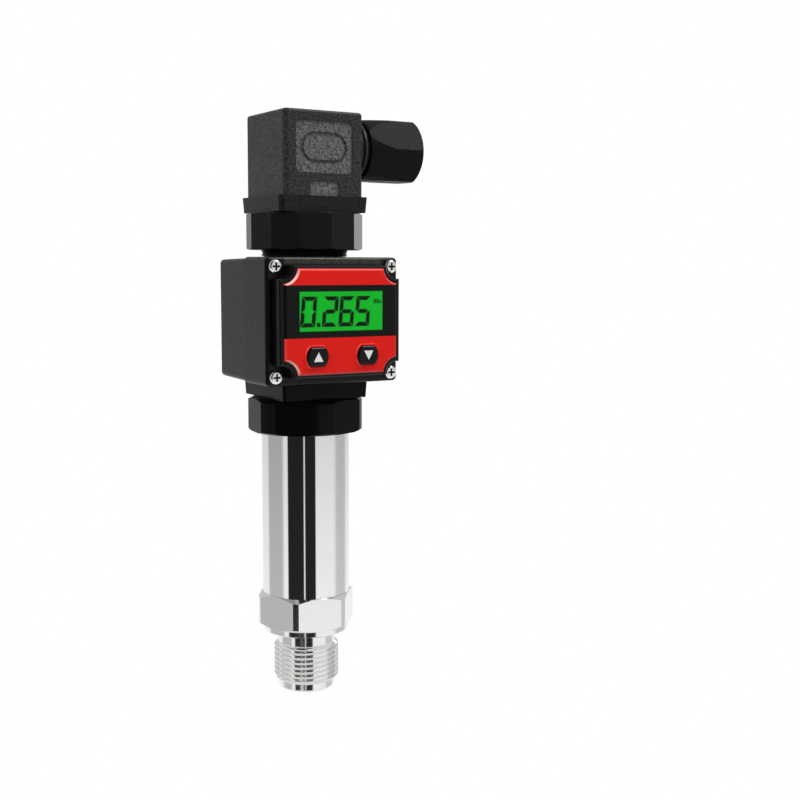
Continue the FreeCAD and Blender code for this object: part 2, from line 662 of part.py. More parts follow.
def front_cover():
    """Cover with the raised block, its scooped corners, window, button holes and pocket.

    The pocket has a ledge on either side on which the display board rests."""
    plate = slab(HEAD_HALF_X, HEAD_HALF_Z, CASE_EDGE_R, PLATE_Y, SPLIT_Y)
    plate = plate.makeFillet(PLATE_EDGE_R, edges_at(plate, "Y", PLATE_Y))
    block = slab(BEZEL_HALF_X, BEZEL_HALF_Z, 0.4, BEZEL_Y, PLATE_Y + 0.5)
    for x, z in screw_places():
        block = block.cut(cyl_y(BEZEL_SCOOP_R, BEZEL_Y - OVER, PLATE_Y + OVER, x, z))
    block = block.makeChamfer(BEZEL_BEVEL, edges_at(block, "Y", BEZEL_Y))
    body = plate.fuse(block)
    skin = BEZEL_Y + BEZEL_WALL
    open_y = SPLIT_Y + OVER
    low, high = HEAD_MID - BOARD_HALF[1] - BOARD_FIT, HEAD_MID + BOARD_HALF[1] + BOARD_FIT
    pocket_x = LCD_HALF[0] + 0.2
    seat_x, tab_x = BOARD_HALF[0] + BOARD_FIT, BOARD_TAB[0] + BOARD_FIT
    glass_z = LCD_HALF[1] + LCD_LEDGE + 0.2
    tools = [
        box(-pocket_x, pocket_x, skin, open_y, low, high),
        box(-seat_x, seat_x, BOARD_Y, open_y, low, high),
        box(-tab_x, tab_x, skin, open_y, HEAD_MID - BOARD_TAB[1] - BOARD_FIT, low + JOIN),
        box(-pocket_x, pocket_x, BEZEL_Y - OVER, skin + OVER, LCD_Z - glass_z, LCD_Z + glass_z)]
    wide, tall = SEAL_HALF[0] + 0.05, SEAL_HALF[1] + 0.05
    inner = SEAL_WIDE + 0.1
    groove = slab(wide, tall, 1.0, SPLIT_Y - SEAL_DEEP, open_y)
    tools.append(groove.cut(slab(wide - inner, tall - inner, 0.6, SPLIT_Y - OVER, open_y + OVER)))
    for side in (-1, 1):
        tools.append(button_outline(BUTTON_GAP, BEZEL_Y - OVER, skin + OVER, side * BUTTON_X))
    hole_r = SCREW_R + 0.15
    tools += [cyl_y(hole_r, PLATE_Y - OVER, open_y, x, z) for x, z in screw_places()]
    return cut_all(body, tools).removeSplitter()


def cover_gasket():
    """Rectangular seal in the groove between cover and case."""
    wide, tall = SEAL_HALF
    outer = slab(wide, tall, 0.95, SPLIT_Y - SEAL_DEEP, SPLIT_Y)
    return outer.cut(slab(wide - SEAL_WIDE, tall - SEAL_WIDE, 0.6, SPLIT_Y - OVER, SPLIT_Y + OVER))


def cover_screws():
    """Four pan-head screws with a cross recess."""
    screws = []
    head_r, head_h, dome_r = 1.95, 1.35, 0.7
    arm, half_slot, floor_h = 1.15, 0.3, 0.6
    for x, z in screw_places():
        head = cyl_y(head_r, PLATE_Y - head_h, PLATE_Y, x, z)
        head = head.makeFillet(dome_r, edges_at(head, "Y", PLATE_Y - head_h))
        for wide, tall in ((arm, half_slot), (half_slot, arm)):
            slot = box(x - wide, x + wide, PLATE_Y - head_h - OVER, PLATE_Y - floor_h, z - tall, z + tall)
            head = head.cut(slot)
        screws.append(head.fuse(cyl_y(SCREW_R, PLATE_Y, SPLIT_Y + SCREW_REACH, x, z)))
    return Part.makeCompound(screws)


def fascia_panel():
    """Printed panel with scooped, bevelled corners, a window and a lip round each button."""
    panel = slab(PANEL_HALF_X, PANEL_HALF_Z, 0.05, PANEL_Y, BEZEL_Y)
    for x, z in screw_places():
        panel = panel.cut(cyl_y(PANEL_SCOOP_R, PANEL_Y - OVER, BEZEL_Y + OVER, x, z))
    panel = panel.makeChamfer(PANEL_BEVEL, edges_at(panel, "Y", PANEL_Y))
    lip_y = PANEL_Y - LIP_HIGH
    for side in (-1, 1):
        lip = button_outline(BUTTON_GAP + LIP_WIDE, lip_y, PANEL_Y + JOIN, side * BUTTON_X)
        panel = panel.fuse(lip.makeChamfer(0.2, edges_at(lip, "Y", lip_y)))
    tools = [box(-WINDOW_HALF_X, WINDOW_HALF_X, PANEL_Y - OVER, BEZEL_Y + OVER,
                 LCD_Z - WINDOW_HALF_Z, LCD_Z + WINDOW_HALF_Z)]
    for side in (-1, 1):
        tools.append(button_outline(BUTTON_GAP, PANEL_Y - OVER, BEZEL_Y + OVER, side * BUTTON_X))
    return cut_all(panel, tools).removeSplitter()


def window_lens():
    """Clear pane set flush in the panel's window."""
    return box(-WINDOW_HALF_X, WINDOW_HALF_X, PANEL_Y + 0.05, BEZEL_Y,
               LCD_Z - WINDOW_HALF_Z, LCD_Z + WINDOW_HALF_Z)


def lcd_glass():
    """Two bonded glass plates, the rear one longer to carry the contacts."""
    half_x, half_z = LCD_HALF
    middle = BEZEL_Y + LCD_GLASS[0]
    back = middle + LCD_GLASS[1]
    long_z = half_z + LCD_LEDGE
    front = box(-half_x, half_x, BEZEL_Y, middle, LCD_Z - half_z, LCD_Z + half_z)
    return front.fuse(box(-half_x, half_x, middle, back, LCD_Z - long_z, LCD_Z + long_z))


def backlight():
    """Light guide behind the display glass."""
    half_x, half_z = LIGHT_HALF
    front = BEZEL_Y + sum(LCD_GLASS)
    return box(-half_x, half_x, front, front + LIGHT_DEEP, LCD_Z - half_z, LCD_Z + half_z)


def zebra_strips():
    """Two rubber strips that join the glass to the board."""
    half_x, half_z = STRIP_HALF
    front = BEZEL_Y + sum(LCD_GLASS)
    strips = []
    for side in (-1, 1):
        mid = LCD_Z + side * STRIP_OFF
        strips.append(box(-half_x, half_x, front, BOARD_Y, mid - half_z, mid + half_z))
    return Part.makeCompound(strips)


def display_board():
    """Board on the pocket's ledges, with a tab that reaches down behind the keys."""
    half_x, half_z = BOARD_HALF
    tab_x, tab_z = BOARD_TAB
    back = BOARD_Y + BOARD_T
    main = box(-half_x, half_x, BOARD_Y, back, HEAD_MID - half_z, HEAD_MID + half_z)
    tab = box(-tab_x, tab_x, BOARD_Y, back, HEAD_MID - tab_z, HEAD_MID - half_z + JOIN)
    return main.fuse(tab).removeSplitter()


def board_parts():
    """Controller chip, crystal and two capacitors on the back of the display board."""
    back = BOARD_Y + BOARD_T
    low = back + 1.2
    chip = box(-5.0, 5.0, back, back + 1.4, 113.0, 123.0)
    crystal = box(8.0, 12.5, back, low, 117.0, 119.0)
    caps = [cyl_y(1.6, back, low, -10.0, z) for z in (110.0, 121.0)]
    return Part.makeCompound([chip, crystal] + caps)


def key_switches():
    """Bodies of the two key switches, open in front for their plungers."""
    bodies = []
    front = BOARD_Y - SWITCH_DEEP
    for x in (-BUTTON_X, BUTTON_X):
        body = box(x - SWITCH_HALF, x + SWITCH_HALF, front, BOARD_Y,
                   BUTTON_Z - SWITCH_HALF, BUTTON_Z + SWITCH_HALF)
        bodies.append(body.cut(cyl_y(PLUNGER_R + 0.1, front - OVER, BOARD_Y - 0.5, x, BUTTON_Z)))
    return Part.makeCompound(bodies)


def button(side):
    """Key cap with a softened front edge and a wider foot behind the cover's wall."""
    x = side * BUTTON_X
    cap = button_outline(0.0, BUTTON_FRONT, BUTTON_BACK, x)
    cap = cap.makeFillet(BUTTON_EDGE_R, edges_at(cap, "Y", BUTTON_FRONT))
    foot = button_outline(BUTTON_FOOT[0], BUTTON_BACK, BUTTON_BACK + BUTTON_FOOT[1], x)
    return cap.fuse(foot).removeSplitter()


def plunger(side):
    """Switch plunger that the key cap pushes, clear of the board by more than its travel."""
    end = BOARD_Y - 0.5 - BUTTON_TRAVEL - 0.2
    return cyl_y(PLUNGER_R, BUTTON_BACK + BUTTON_FOOT[1], end, side * BUTTON_X, BUTTON_Z)


# ---------------------------------------------------------------- upper plug base and connector

def upper_base():
    """Twelve-sided plug base with its waisted neck and the upper journal of the swivel."""
    collar = prism(12, BASE_CORNER_R, BASE_Z0, BASE_Z1, 0.0)
    edge_r = BASE_CORNER_R - 0.9
    envelope = turned([
        (0, BASE_Z0), (edge_r, BASE_Z0), (BASE_CORNER_R, BASE_Z0 + 0.4),
        (BASE_CORNER_R, BASE_Z1 - 0.5), (edge_r, BASE_Z1), (0, BASE_Z1)])
    neck_z = HEAD_Z1 + SWIVEL_GAP
    inside = BASE_Z0 + JOIN
    neck = turned([
        (0, neck_z), (NECK_R, neck_z), (NECK_R - NECK_WAIST, (neck_z + BASE_Z0) / 2),
        (NECK_R + 0.3, inside), (0, inside)])
    foot = UPPER_RING_Z - 1.0
    hub = journal(foot, neck_z + JOIN, UPPER_RING_Z)
    body = collar.common(envelope).fuse([neck, hub])
    hollow = cyl_z(HUB_BORE_R, foot - OVER, BASE_WEB_Z)
    tools = [hollow, cyl_z(M3_PASS, foot, BASE_Z1 + OVER)] + blades(foot, BASE_Z1 + OVER)
    return cut_all(body, tools).removeSplitter()


def upper_pins():
    below, above = 8.0, 10.0
    return Part.makeCompound(blades(BASE_Z1 - below, BASE_Z1 + above))


def connector_gasket():
    """Square profile gasket between the plug base and the connector."""
    half_x, half_y = SEAT_HALF
    top = BASE_Z1 + SEAT_H[1]
    body = post(half_x, half_y, 1.2, BASE_Z1, top)
    body = body.fuse(post(half_x + SEAT_RIM, half_y + SEAT_RIM, 1.4, BASE_Z1, BASE_Z1 + SEAT_H[0]))
    low, high = BASE_Z1 - OVER, top + OVER
    return cut_all(body, [cyl_z(2.2, low, high)] + blades(low, high, BLADE_FIT)).removeSplitter()


def stadium(half_u, half_v, y0, y1, z):
    """Oval plate in the XZ plane."""
    return slab(half_u, half_v, half_v - 0.01, y0, y1, (0.0, z))


def connector_front():
    """What is sunk into the connector's front: grained panel, incised oval, bare rectangle."""
    front = -CONN_HALF[1]
    out = front - OVER
    panel = slab(RECESS_HALF[0], RECESS_HALF[1], 1.5, out, front + RECESS_DEEP, (0.0, RECESS_Z))
    inner = (OVAL_HALF[0] - OVAL_LINE, OVAL_HALF[1] - OVAL_LINE)
    line = stadium(OVAL_HALF[0], OVAL_HALF[1], front, front + OVAL_DEEP, OVAL_Z)
    line = line.cut(stadium(inner[0], inner[1], out, front + 2 * OVER, OVAL_Z))
    date = box(-DATE_HALF_X, DATE_HALF_X, out, front + DATE_DEEP, FLANGE_Z1, DATE_Z1)
    return [panel, line, date]


def connector_bore():
    """Passage for the cable: opens from the hollow into the grommet's tapered seat."""
    inner_x = CONN_HALF[0] - CONN_WALL - OVER
    mouth_x = SPOUT_END + OVER
    return turned_x([
        (inner_x, 0), (inner_x, CONE_R[0]), (CONE_X[0], CONE_R[0]), (CONE_X[1], CONE_R[1]),
        (mouth_x, CONE_R[1]), (mouth_x, 0)])


def connector_housing():
    """Square moulded housing: rim, body, spout for the gland, recessed panels, screw well."""
    foot = BASE_Z1 + 0.05
    low = (FLANGE_HALF[0] - FLANGE_TAPER, FLANGE_HALF[1] - FLANGE_TAPER)
    body = tapered_post(low, FLANGE_HALF, CONN_EDGE_R, foot, FLANGE_Z1)
    tower = post(CONN_HALF[0], CONN_HALF[1], CONN_EDGE_R, FLANGE_Z1 - OVER, CONN_Z1)
    tower = tower.makeFillet(CONN_TOP_R, edges_at(tower, "Z", CONN_Z1))
    root_x = CONN_HALF[0] - 1.5
    slope = 0.1
    spout = turned_x([
        (root_x, 0), (root_x, SPOUT_FOOT[0]), SPOUT_FOOT[::-1], (SPOUT_FOOT[1] + slope, SPOUT_RIB[0]),
        SPOUT_RIB[::-1], (SPOUT_RIB[1] + slope, SPOUT_R), (SPOUT_END - 0.8, SPOUT_R),
        (SPOUT_END, SPOUT_R - 0.8), (SPOUT_END, 0)])
    body = body.fuse([tower, spout])
    fit = 0.1
    seat_x, seat_y = SEAT_HALF[0] + fit, SEAT_HALF[1] + fit
    rim_top = BASE_Z1 + SEAT_H[0] + 0.05
    seat = post(seat_x + SEAT_RIM, seat_y + SEAT_RIM, 1.5, foot - OVER, rim_top)
    seat = seat.fuse(post(seat_x, seat_y, 1.3, foot - OVER, BLOCK_Z0))
    hollow = post(CONN_HALF[0] - CONN_WALL, CONN_HALF[1] - CONN_WALL, 1.0, BASE_Z1, CONN_Z1 - CONN_ROOF)
    hollow = hollow.cut(cyl_z(WELL_R[1], CONN_Z1 - WELL_DEEP[1], CONN_Z1))
    tools = [seat, hollow, connector_bore()] + connector_front()
    tools.append(cyl_z(M3_PASS, CONN_Z1 - WELL_DEEP[1] - OVER, CONN_Z1))
    tools.append(cyl_z(WELL_R[0], CONN_Z1 - WELL_DEEP[0], CONN_Z1 + OVER))
    return cut_all(body, tools).removeSplitter()


def terminal_block():
    """Square insulator with four contact pockets and holes for the clamping screws."""
    fit = CONN_WALL + 0.15
    body = post(CONN_HALF[0] - fit, CONN_HALF[1] - fit, 1.0, BLOCK_Z0, BLOCK_Z1)
    body = contact_block(body, BLOCK_Z0, BLOCK_Z1 - 1.5)
    wells = [cyl_z(TERMINAL_R[1], BLOCK_Z1 - TERMINAL_DEEP, BLOCK_Z1 + OVER, x, y)
             for x, y in corners_of(TERMINAL, TERMINAL)]
    return cut_all(body, wells + [cyl_z(M3_PASS, BLOCK_Z0, BLOCK_Z1 + OVER)])


def terminal_contacts():
    return spring_contacts(BLOCK_Z0 + POCKET_FLOOR, BLOCK_Z1 - 1.6)


def terminal_screws():
    """Four slotted clamping screws in the block's wells."""
    screws = []
    height, half_slot, slot_deep = 2.0, 0.25, 0.7
    z0 = BLOCK_Z1 - TERMINAL_DEEP
    top = z0 + height
    for x, y in corners_of(TERMINAL, TERMINAL):
        head = cyl_z(TERMINAL_R[0], z0, top, x, y)
        slot = box(x - 2, x + 2, y - half_slot, y + half_slot, top - slot_deep, top + OVER)
        screws.append(head.cut(slot))
    return Part.makeCompound(screws)


def fixing_screw():
    """Long M3 screw that holds connector, display and transmitter together."""
    tip = TUBE_TOP - 2.0
    seat = SCREW_SEAT_Z
    head_r, head_h = M3_HEAD
    head_z = seat + head_h
    body = turned([
        (0, tip), (M3_R - 0.3, tip), (M3_R, tip + 0.4), (M3_R, seat), (head_r, seat),
        (head_r, head_z - 0.5), (head_r - 0.45, head_z), (0, head_z)])
    half_slot, slot_deep = 0.4, 1.1
    return body.cut(box(-head_r - OVER, head_r + OVER, -half_slot, half_slot,
                        head_z - slot_deep, head_z + OVER))


def screw_seal():
    """Rubber ring under the fixing screw's head."""
    return ring(M3_HEAD[0] + 0.05, M3_R + 0.05, SCREW_SEAT_Z - SEAL_H, SCREW_SEAT_Z)


# ---------------------------------------------------------------- cable gland

def gland_grommet():
    """Rubber sleeve that the nut squeezes round the cable."""
    return turned_x([
        (CONE_X[0], CABLE_R), (CONE_X[0], CONE_R[0]), (CONE_X[1], CONE_R[1]),
        (WASHER_X0, CONE_R[1]), (WASHER_X0, CABLE_R)])


def gland_washer():
    """Metal ring between grommet and nut."""
    end = NUT_SEAT_X - 0.1
    return turned_x([
        (WASHER_X0, WASHER_R[0]), (WASHER_X0, WASHER_R[1]), (end, WASHER_R[1]), (end, WASHER_R[0])])


def gland_nut():
    """Hexagonal nut: round at its foot, full hexagon in the middle, rounded at its mouth."""
    flat = NUT_AF / 2
    corner = hexagon_corner(NUT_AF)
    bar = prism(6, corner, NUT_X0, NUT_X1, 30.0)
    bar.rotate(Vector(0, 0, 0), Vector(0, 1, 0), 90)
    bar.translate(Vector(0, 0, GLAND_Z))
    full = corner - 0.1
    envelope = turned_x([
        (NUT_X0, 0), (NUT_X0, flat - 0.25), (NUT_X0 + 0.3, flat + 0.05), (NUT_X0 + NUT_FLARE, full),
        (NUT_X1, full), (NUT_X1, 0)])
    envelope = envelope.makeFillet(NUT_MOUTH_R, edges_at(envelope, "X", NUT_X1))
    thread_r = SPOUT_R + NUT_FIT
    mouth_r = NUT_HOLE_R + 1.0
    bore = turned_x([
        (NUT_X0 - OVER, 0), (NUT_X0 - OVER, thread_r), (NUT_SEAT_X, thread_r),
        (NUT_SEAT_X, NUT_HOLE_R), (NUT_X1 - 1.0, NUT_HOLE_R), (NUT_X1, mouth_r),
        (NUT_X1 + OVER, mouth_r), (NUT_X1 + OVER, 0)])
    return bar.common(envelope).cut(bore)


# ---------------------------------------------------------------- build

PARTS = {
    "process_fitting": process_fitting,
    "housing_tube": housing_tube,
    "cell_diaphragm": cell_diaphragm,
    "sensor_cell": sensor_cell,
    "cell_o_ring": cell_o_ring,
    "cell_ring": cell_ring,
    "amplifier_board": amplifier_board,
    "amplifier_parts": amplifier_parts,
    "sensor_ribbon": sensor_ribbon,
    "output_leads": output_leads,
    "lower_collar": lower_collar,
    "lower_pin_base": lower_pin_base,
    "base_o_ring": base_o_ring,
    "thread_insert": thread_insert,
    "lower_pins": lower_pins,
    "lower_gasket": lower_gasket,
    "lower_socket": lower_socket,
    "lower_block": lower_block,
    "lower_contacts": lower_contacts,
    "lower_snap_ring": lower_snap_ring,
    "upper_snap_ring": upper_snap_ring,
    "spindle": spindle,
    "display_case": display_case,
    "front_cover": front_cover,
    "cover_gasket": cover_gasket,
    "cover_screws": cover_screws,
    "fascia_panel": fascia_panel,
    "window_lens": window_lens,
    "lcd_glass": lcd_glass,
    "backlight": backlight,
    "zebra_strips": zebra_strips,
    "display_board": display_board,
    "board_parts": board_parts,
    "key_switches": key_switches,
    "up_button": lambda: button(-1),
    "down_button": lambda: button(1),
    "up_plunger": lambda: plunger(-1),
    "down_plunger": lambda: plunger(1),
    "upper_base": upper_base,
    "upper_pins": upper_pins,
    "connector_gasket": connector_gasket,
    "connector_housing": connector_housing,
    "terminal_block": terminal_block,
    "terminal_contacts": terminal_contacts,
    "terminal_screws": terminal_screws,
    "fixing_screw": fixing_screw,
    "screw_seal": screw_seal,
    "gland_grommet": gland_grommet,
    "gland_washer": gland_washer,
    "gland_nut": gland_nut,
}


def main():
    os.makedirs("parts", exist_ok=True)
    for name, make in PARTS.items():
        shape = make()
        if not shape.isValid():
            print("not valid:", name)
        shape.exportStep("parts/" + name + ".step")
        print("%-20s %9.1f mm3  %d solids" % (name, shape.Volume, len(shape.Solids)))


main()
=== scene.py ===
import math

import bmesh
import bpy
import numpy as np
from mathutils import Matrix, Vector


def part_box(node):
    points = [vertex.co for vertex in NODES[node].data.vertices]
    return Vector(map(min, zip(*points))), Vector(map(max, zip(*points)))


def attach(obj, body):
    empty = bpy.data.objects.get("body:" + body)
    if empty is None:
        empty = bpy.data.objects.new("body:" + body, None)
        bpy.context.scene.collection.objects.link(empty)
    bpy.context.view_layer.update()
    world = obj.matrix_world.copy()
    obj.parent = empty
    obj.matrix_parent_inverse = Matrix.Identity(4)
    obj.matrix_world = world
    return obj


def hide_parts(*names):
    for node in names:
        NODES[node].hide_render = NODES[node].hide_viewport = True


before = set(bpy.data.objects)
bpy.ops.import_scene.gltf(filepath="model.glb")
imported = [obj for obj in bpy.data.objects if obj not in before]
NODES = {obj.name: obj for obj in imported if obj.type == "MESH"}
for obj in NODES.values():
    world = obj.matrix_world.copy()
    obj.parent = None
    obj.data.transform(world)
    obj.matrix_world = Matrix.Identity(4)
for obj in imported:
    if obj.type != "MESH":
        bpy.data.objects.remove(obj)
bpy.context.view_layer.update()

# %% [markdown]
# # A pressure transmitter with a plug-on display
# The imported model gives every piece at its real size, in metres, with +Z up the axis, the display
# looking along -Y and the cable gland pointing along +X. This lesson dresses that model: it cuts
# the thread, writes the figures on the display, prints the key symbols, and gives each piece the
# finish of the real material. The camera comes first, so that each step can be looked at.

MM = 0.001
HEAD = "display_head"
ROOT = "transmitter"


def box_mm(node):
    """Lowest and highest corner of a CAD node, in millimetres, as arrays."""
    low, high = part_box(node)
    return np.array(low) / MM, np.array(high) / MM


# %% [markdown]
# ## Camera
# The instrument is looked at from a little to its left and from mid height, about 0.37 m away. A
# camera that close shows the connector from below and the hexagon from above in one picture, so the
# distance matters as much as the direction. The place is given in cylindrical terms, which are
# easier to read than three loose coordinates: how far from the axis, round which side, how high.

# %% camera
CAMERA_DISTANCE = 371.4      # mm from the axis
CAMERA_SIDE = 26.76          # degrees round to the left of the display's front
CAMERA_HEIGHT = 131.7        # mm above the thread's end
CAMERA_TURN = 4.49           # degrees that it looks past the axis, to the right
CAMERA_DIP = 6.44            # degrees below the horizon
CAMERA_ROLL = 0.215          # degrees
CAMERA_SENSOR = 36.0         # mm wide
CAMERA_LENS = 54.67          # mm
CAMERA_CLIP = (0.01, 20.0)   # m, the nearest and the farthest that it draws


def add_camera():
    """Puts the camera on a circle about the axis and turns it by heading, dip and roll."""
    data = bpy.data.cameras.new("camera")
    data.sensor_width = CAMERA_SENSOR
    data.lens = CAMERA_LENS
    data.clip_start, data.clip_end = CAMERA_CLIP
    camera = bpy.data.objects.new("camera", data)
    side = math.radians(CAMERA_SIDE)
    camera.location = (-CAMERA_DISTANCE * math.sin(side) * MM,
                       -CAMERA_DISTANCE * math.cos(side) * MM,
                       CAMERA_HEIGHT * MM)
    heading = -math.radians(CAMERA_SIDE + CAMERA_TURN)
    camera.rotation_euler = (math.radians(90 - CAMERA_DIP), 0, heading)
    camera.rotation_euler.rotate_axis("Z", math.radians(CAMERA_ROLL))
    bpy.context.scene.collection.objects.link(camera)
    bpy.context.scene.camera = camera
    return camera


camera = add_camera()
print("camera at", [round(v, 3) for v in camera.location])

# %% [markdown]
# ## Node helpers
# Shaders are built from many small nodes. Five helpers keep the code short: one adds a node, one
# wires two sockets, one adds a Math node on sockets or plain numbers, one blends two colours, and
# one makes a smooth step from 0 to 1.

# %% node helpers
def add_node(tree, kind, **values):
    """A node with some of its properties set."""
    node = tree.nodes.new(kind)
    for key, value in values.items():
        setattr(node, key, value)
    return node


def wire(tree, source, target):
    tree.links.new(source, target)


def maths(tree, operation, a, b=None, c=None, clamp=False):
    """A Math node on sockets or numbers, and its output socket."""
    node = add_node(tree, "ShaderNodeMath", operation=operation, use_clamp=clamp)
    for place, value in enumerate((a, b, c)):
        if value is None:
            continue
        if isinstance(value, (int, float)):
            node.inputs[place].default_value = value
        else:
            wire(tree, value, node.inputs[place])
    return node.outputs[0]


def mixed(tree, factor, first, second):
    """Colour between two others; each is a socket or a plain (red, green, blue)."""
    mix = add_node(tree, "ShaderNodeMix", data_type="RGBA")
    wire(tree, factor, mix.inputs["Factor"])
    for place, colour in ((6, first), (7, second)):
        if isinstance(colour, tuple):
            mix.inputs[place].default_value = (*colour, 1)
        else:
            wire(tree, colour, mix.inputs[place])
    return mix.outputs[2]


def fade(tree, value, start, end):
    """0 below start, 1 above end and a smooth step in between (end may be the lower one)."""
    node = add_node(tree, "ShaderNodeMapRange", interpolation_type="SMOOTHSTEP")
    wire(tree, value, node.inputs["Value"])
    node.inputs["From Min"].default_value = start
    node.inputs["From Max"].default_value = end
    return node.outputs["Result"]


# %% [markdown]
# ## The room
# Polished steel has no colour of its own: it shows the room. The room is the plain white of the
# background, made by the world shader from the direction of a ray. A few upright cards hang in it,
# as they do when polished metal is lit in a studio, since in white alone a round tube has no shape.
# Two dark cards stand in front with a slit between them, and a grey one at either side. They are
# hung about the side where the camera stands, and stay there when it moves. Glossy rays see the
# cards and the camera sees only white. Matt surfaces get a pale sky, dimmer from below.

# %% room levels
WHITE = (1.0, 1.0, 1.0)
ROOM_SIDE = CAMERA_SIDE      # degrees left of the display's front; the cards' angles start there
# name: (from, to, softness of the edge) in degrees, + being to the right, and the level
CARDS = {
    "left_grey": (-115, -62, 10, 0.55),
    "front_dark_left": (-48, -5, 3, 0.02),
    "front_dark_right": (-2, 26, 3, 0.02),
    "right_grey": (85, 130, 15, 0.65),
}
SCREEN_DIP = -20             # degrees; at this dip and below, the room has its low level
SCREEN_LOW, SCREEN_HIGH = 1.0, 0.62     # level of the room there, and from the horizon up
SKY_LOW, SKY_HIGH = (0.12, 0.12, 0.12), (0.88, 0.88, 0.88)  # straight down and straight up


def sine_of(degrees):
    return math.sin(math.radians(degrees))


# %% room shader
def room_direction(tree):
    """Compass angle of a ray, -180 to 180 degrees given as 0 to 1, and its elevation's sine."""
    coords = add_node(tree, "ShaderNodeTexCoord")
    split = add_node(tree, "ShaderNodeSeparateXYZ")
    wire(tree, coords.outputs["Generated"], split.inputs[0])
    x, y = split.outputs["X"], split.outputs["Y"]
    turn = math.radians(ROOM_SIDE)
    across = maths(tree, "ADD", maths(tree, "MULTIPLY", x, math.cos(turn)),
                   maths(tree, "MULTIPLY", y, -math.sin(turn)))
    towards = maths(tree, "ADD", maths(tree, "MULTIPLY", x, -math.sin(turn)),
                    maths(tree, "MULTIPLY", y, -math.cos(turn)))
    angle = maths(tree, "ARCTAN2", across, towards)
    return maths(tree, "MULTIPLY_ADD", angle, 0.5 / math.pi, 0.5), split.outputs["Z"]


def card_mask(tree, compass, start, end, edge):
    """1 between two compass angles in degrees, with soft edges, and 0 elsewhere."""
    def part(degrees):
        return (degrees + 180) / 360
    rise = fade(tree, compass, part(start - edge / 2), part(start + edge / 2))
    fall = fade(tree, compass, part(end + edge / 2), part(end - edge / 2))
    return maths(tree, "MULTIPLY", rise, fall)


def glossy_room(tree, compass, height):
    """The room's level times that of every card in the way; it is brightest low down."""
    rise = fade(tree, height, sine_of(SCREEN_DIP), 0.0)
    grey = maths(tree, "MULTIPLY_ADD", rise, SCREEN_HIGH - SCREEN_LOW, SCREEN_LOW)
    for start, end, edge, level in CARDS.values():
        mask = card_mask(tree, compass, start, end, edge)
        grey = maths(tree, "MULTIPLY", grey, maths(tree, "MULTIPLY_ADD", mask, level - 1, 1.0))
    return grey


def build_world():
    """White for the camera and through glass, the cards for glossy rays, the sky for others."""
    world = bpy.data.worlds.new("studio")
    world.use_nodes = True
    bpy.context.scene.world = world
    tree = world.node_tree
    tree.nodes.clear()
    compass, height = room_direction(tree)
    path = add_node(tree, "ShaderNodeLightPath")
    sky = mixed(tree, fade(tree, height, -1.0, 1.0), SKY_LOW, SKY_HIGH)
    seen = mixed(tree, path.outputs["Is Glossy Ray"], sky, glossy_room(tree, compass, height))
    white = maths(tree, "MAXIMUM", path.outputs["Is Camera Ray"],
                  path.outputs["Is Transmission Ray"])
    shader = add_node(tree, "ShaderNodeBackground")
    wire(tree, mixed(tree, white, seen, WHITE), shader.inputs["Color"])
    out = add_node(tree, "ShaderNodeOutputWorld")
    wire(tree, shader.outputs[0], out.inputs["Surface"])


build_world()
bpy.context.scene.view_settings.view_transform = "Standard"
print("white room with %d cards" % len(CARDS))

# %% [markdown]
# ## Lamps and floor
# One soft box stands to the left, one above, in front and to the right, and a small one behind on
# the right, which only draws a bright rim. The upper one also shows in glossy edges: small round
# edges that look up catch it as a bright line, which is what makes black mouldings readable. The
# floor lies well below the thread, because the transmitter is screwed into something in use and
# doesn't stand on its end. The camera sees it as plain white that it gives out itself, and no
# shadow shows on it.

# %% lamps and floor
# name: (place, what it looks at, width), all in mm, then watts and whether glossy surfaces show it
LAMPS = {
    "left_box": ((-700, -250, 350), (0, 0, 100), 400, 1.5, False),
    "top_box": ((391, -309, 802), (0, 0, 110), 250, 3.2, True),
    "rim_box": ((718, 353, 190), (0, 0, 120), 220, 0.22, True),
}
FLOOR_HALF, FLOOR_LEVEL = 900.0, -420.0     # mm
FLOOR_IN_GLOSS = 0.85        # how white the floor is to glossy rays; 1 to the camera
FLOOR_GREY = 0.3             # what it is to all other rays


def area_lamp(name, place, target, size, watts, shows):
    """A square soft box at place that looks at target; both in millimetres.

    shows tells whether it is seen as a shape in glossy surfaces."""
    data = bpy.data.lights.new(name, "AREA")
    data.size = size * MM
    data.energy = watts
    lamp = bpy.data.objects.new(name, data)
    lamp.location = Vector(place) * MM
    aim = Vector(target) * MM - lamp.location
    lamp.rotation_euler = aim.to_track_quat("-Z", "Y").to_euler()
    lamp.visible_glossy = shows
    bpy.context.scene.collection.objects.link(lamp)


for lamp_name, lamp_values in LAMPS.items():
    area_lamp(lamp_name, *lamp_values)


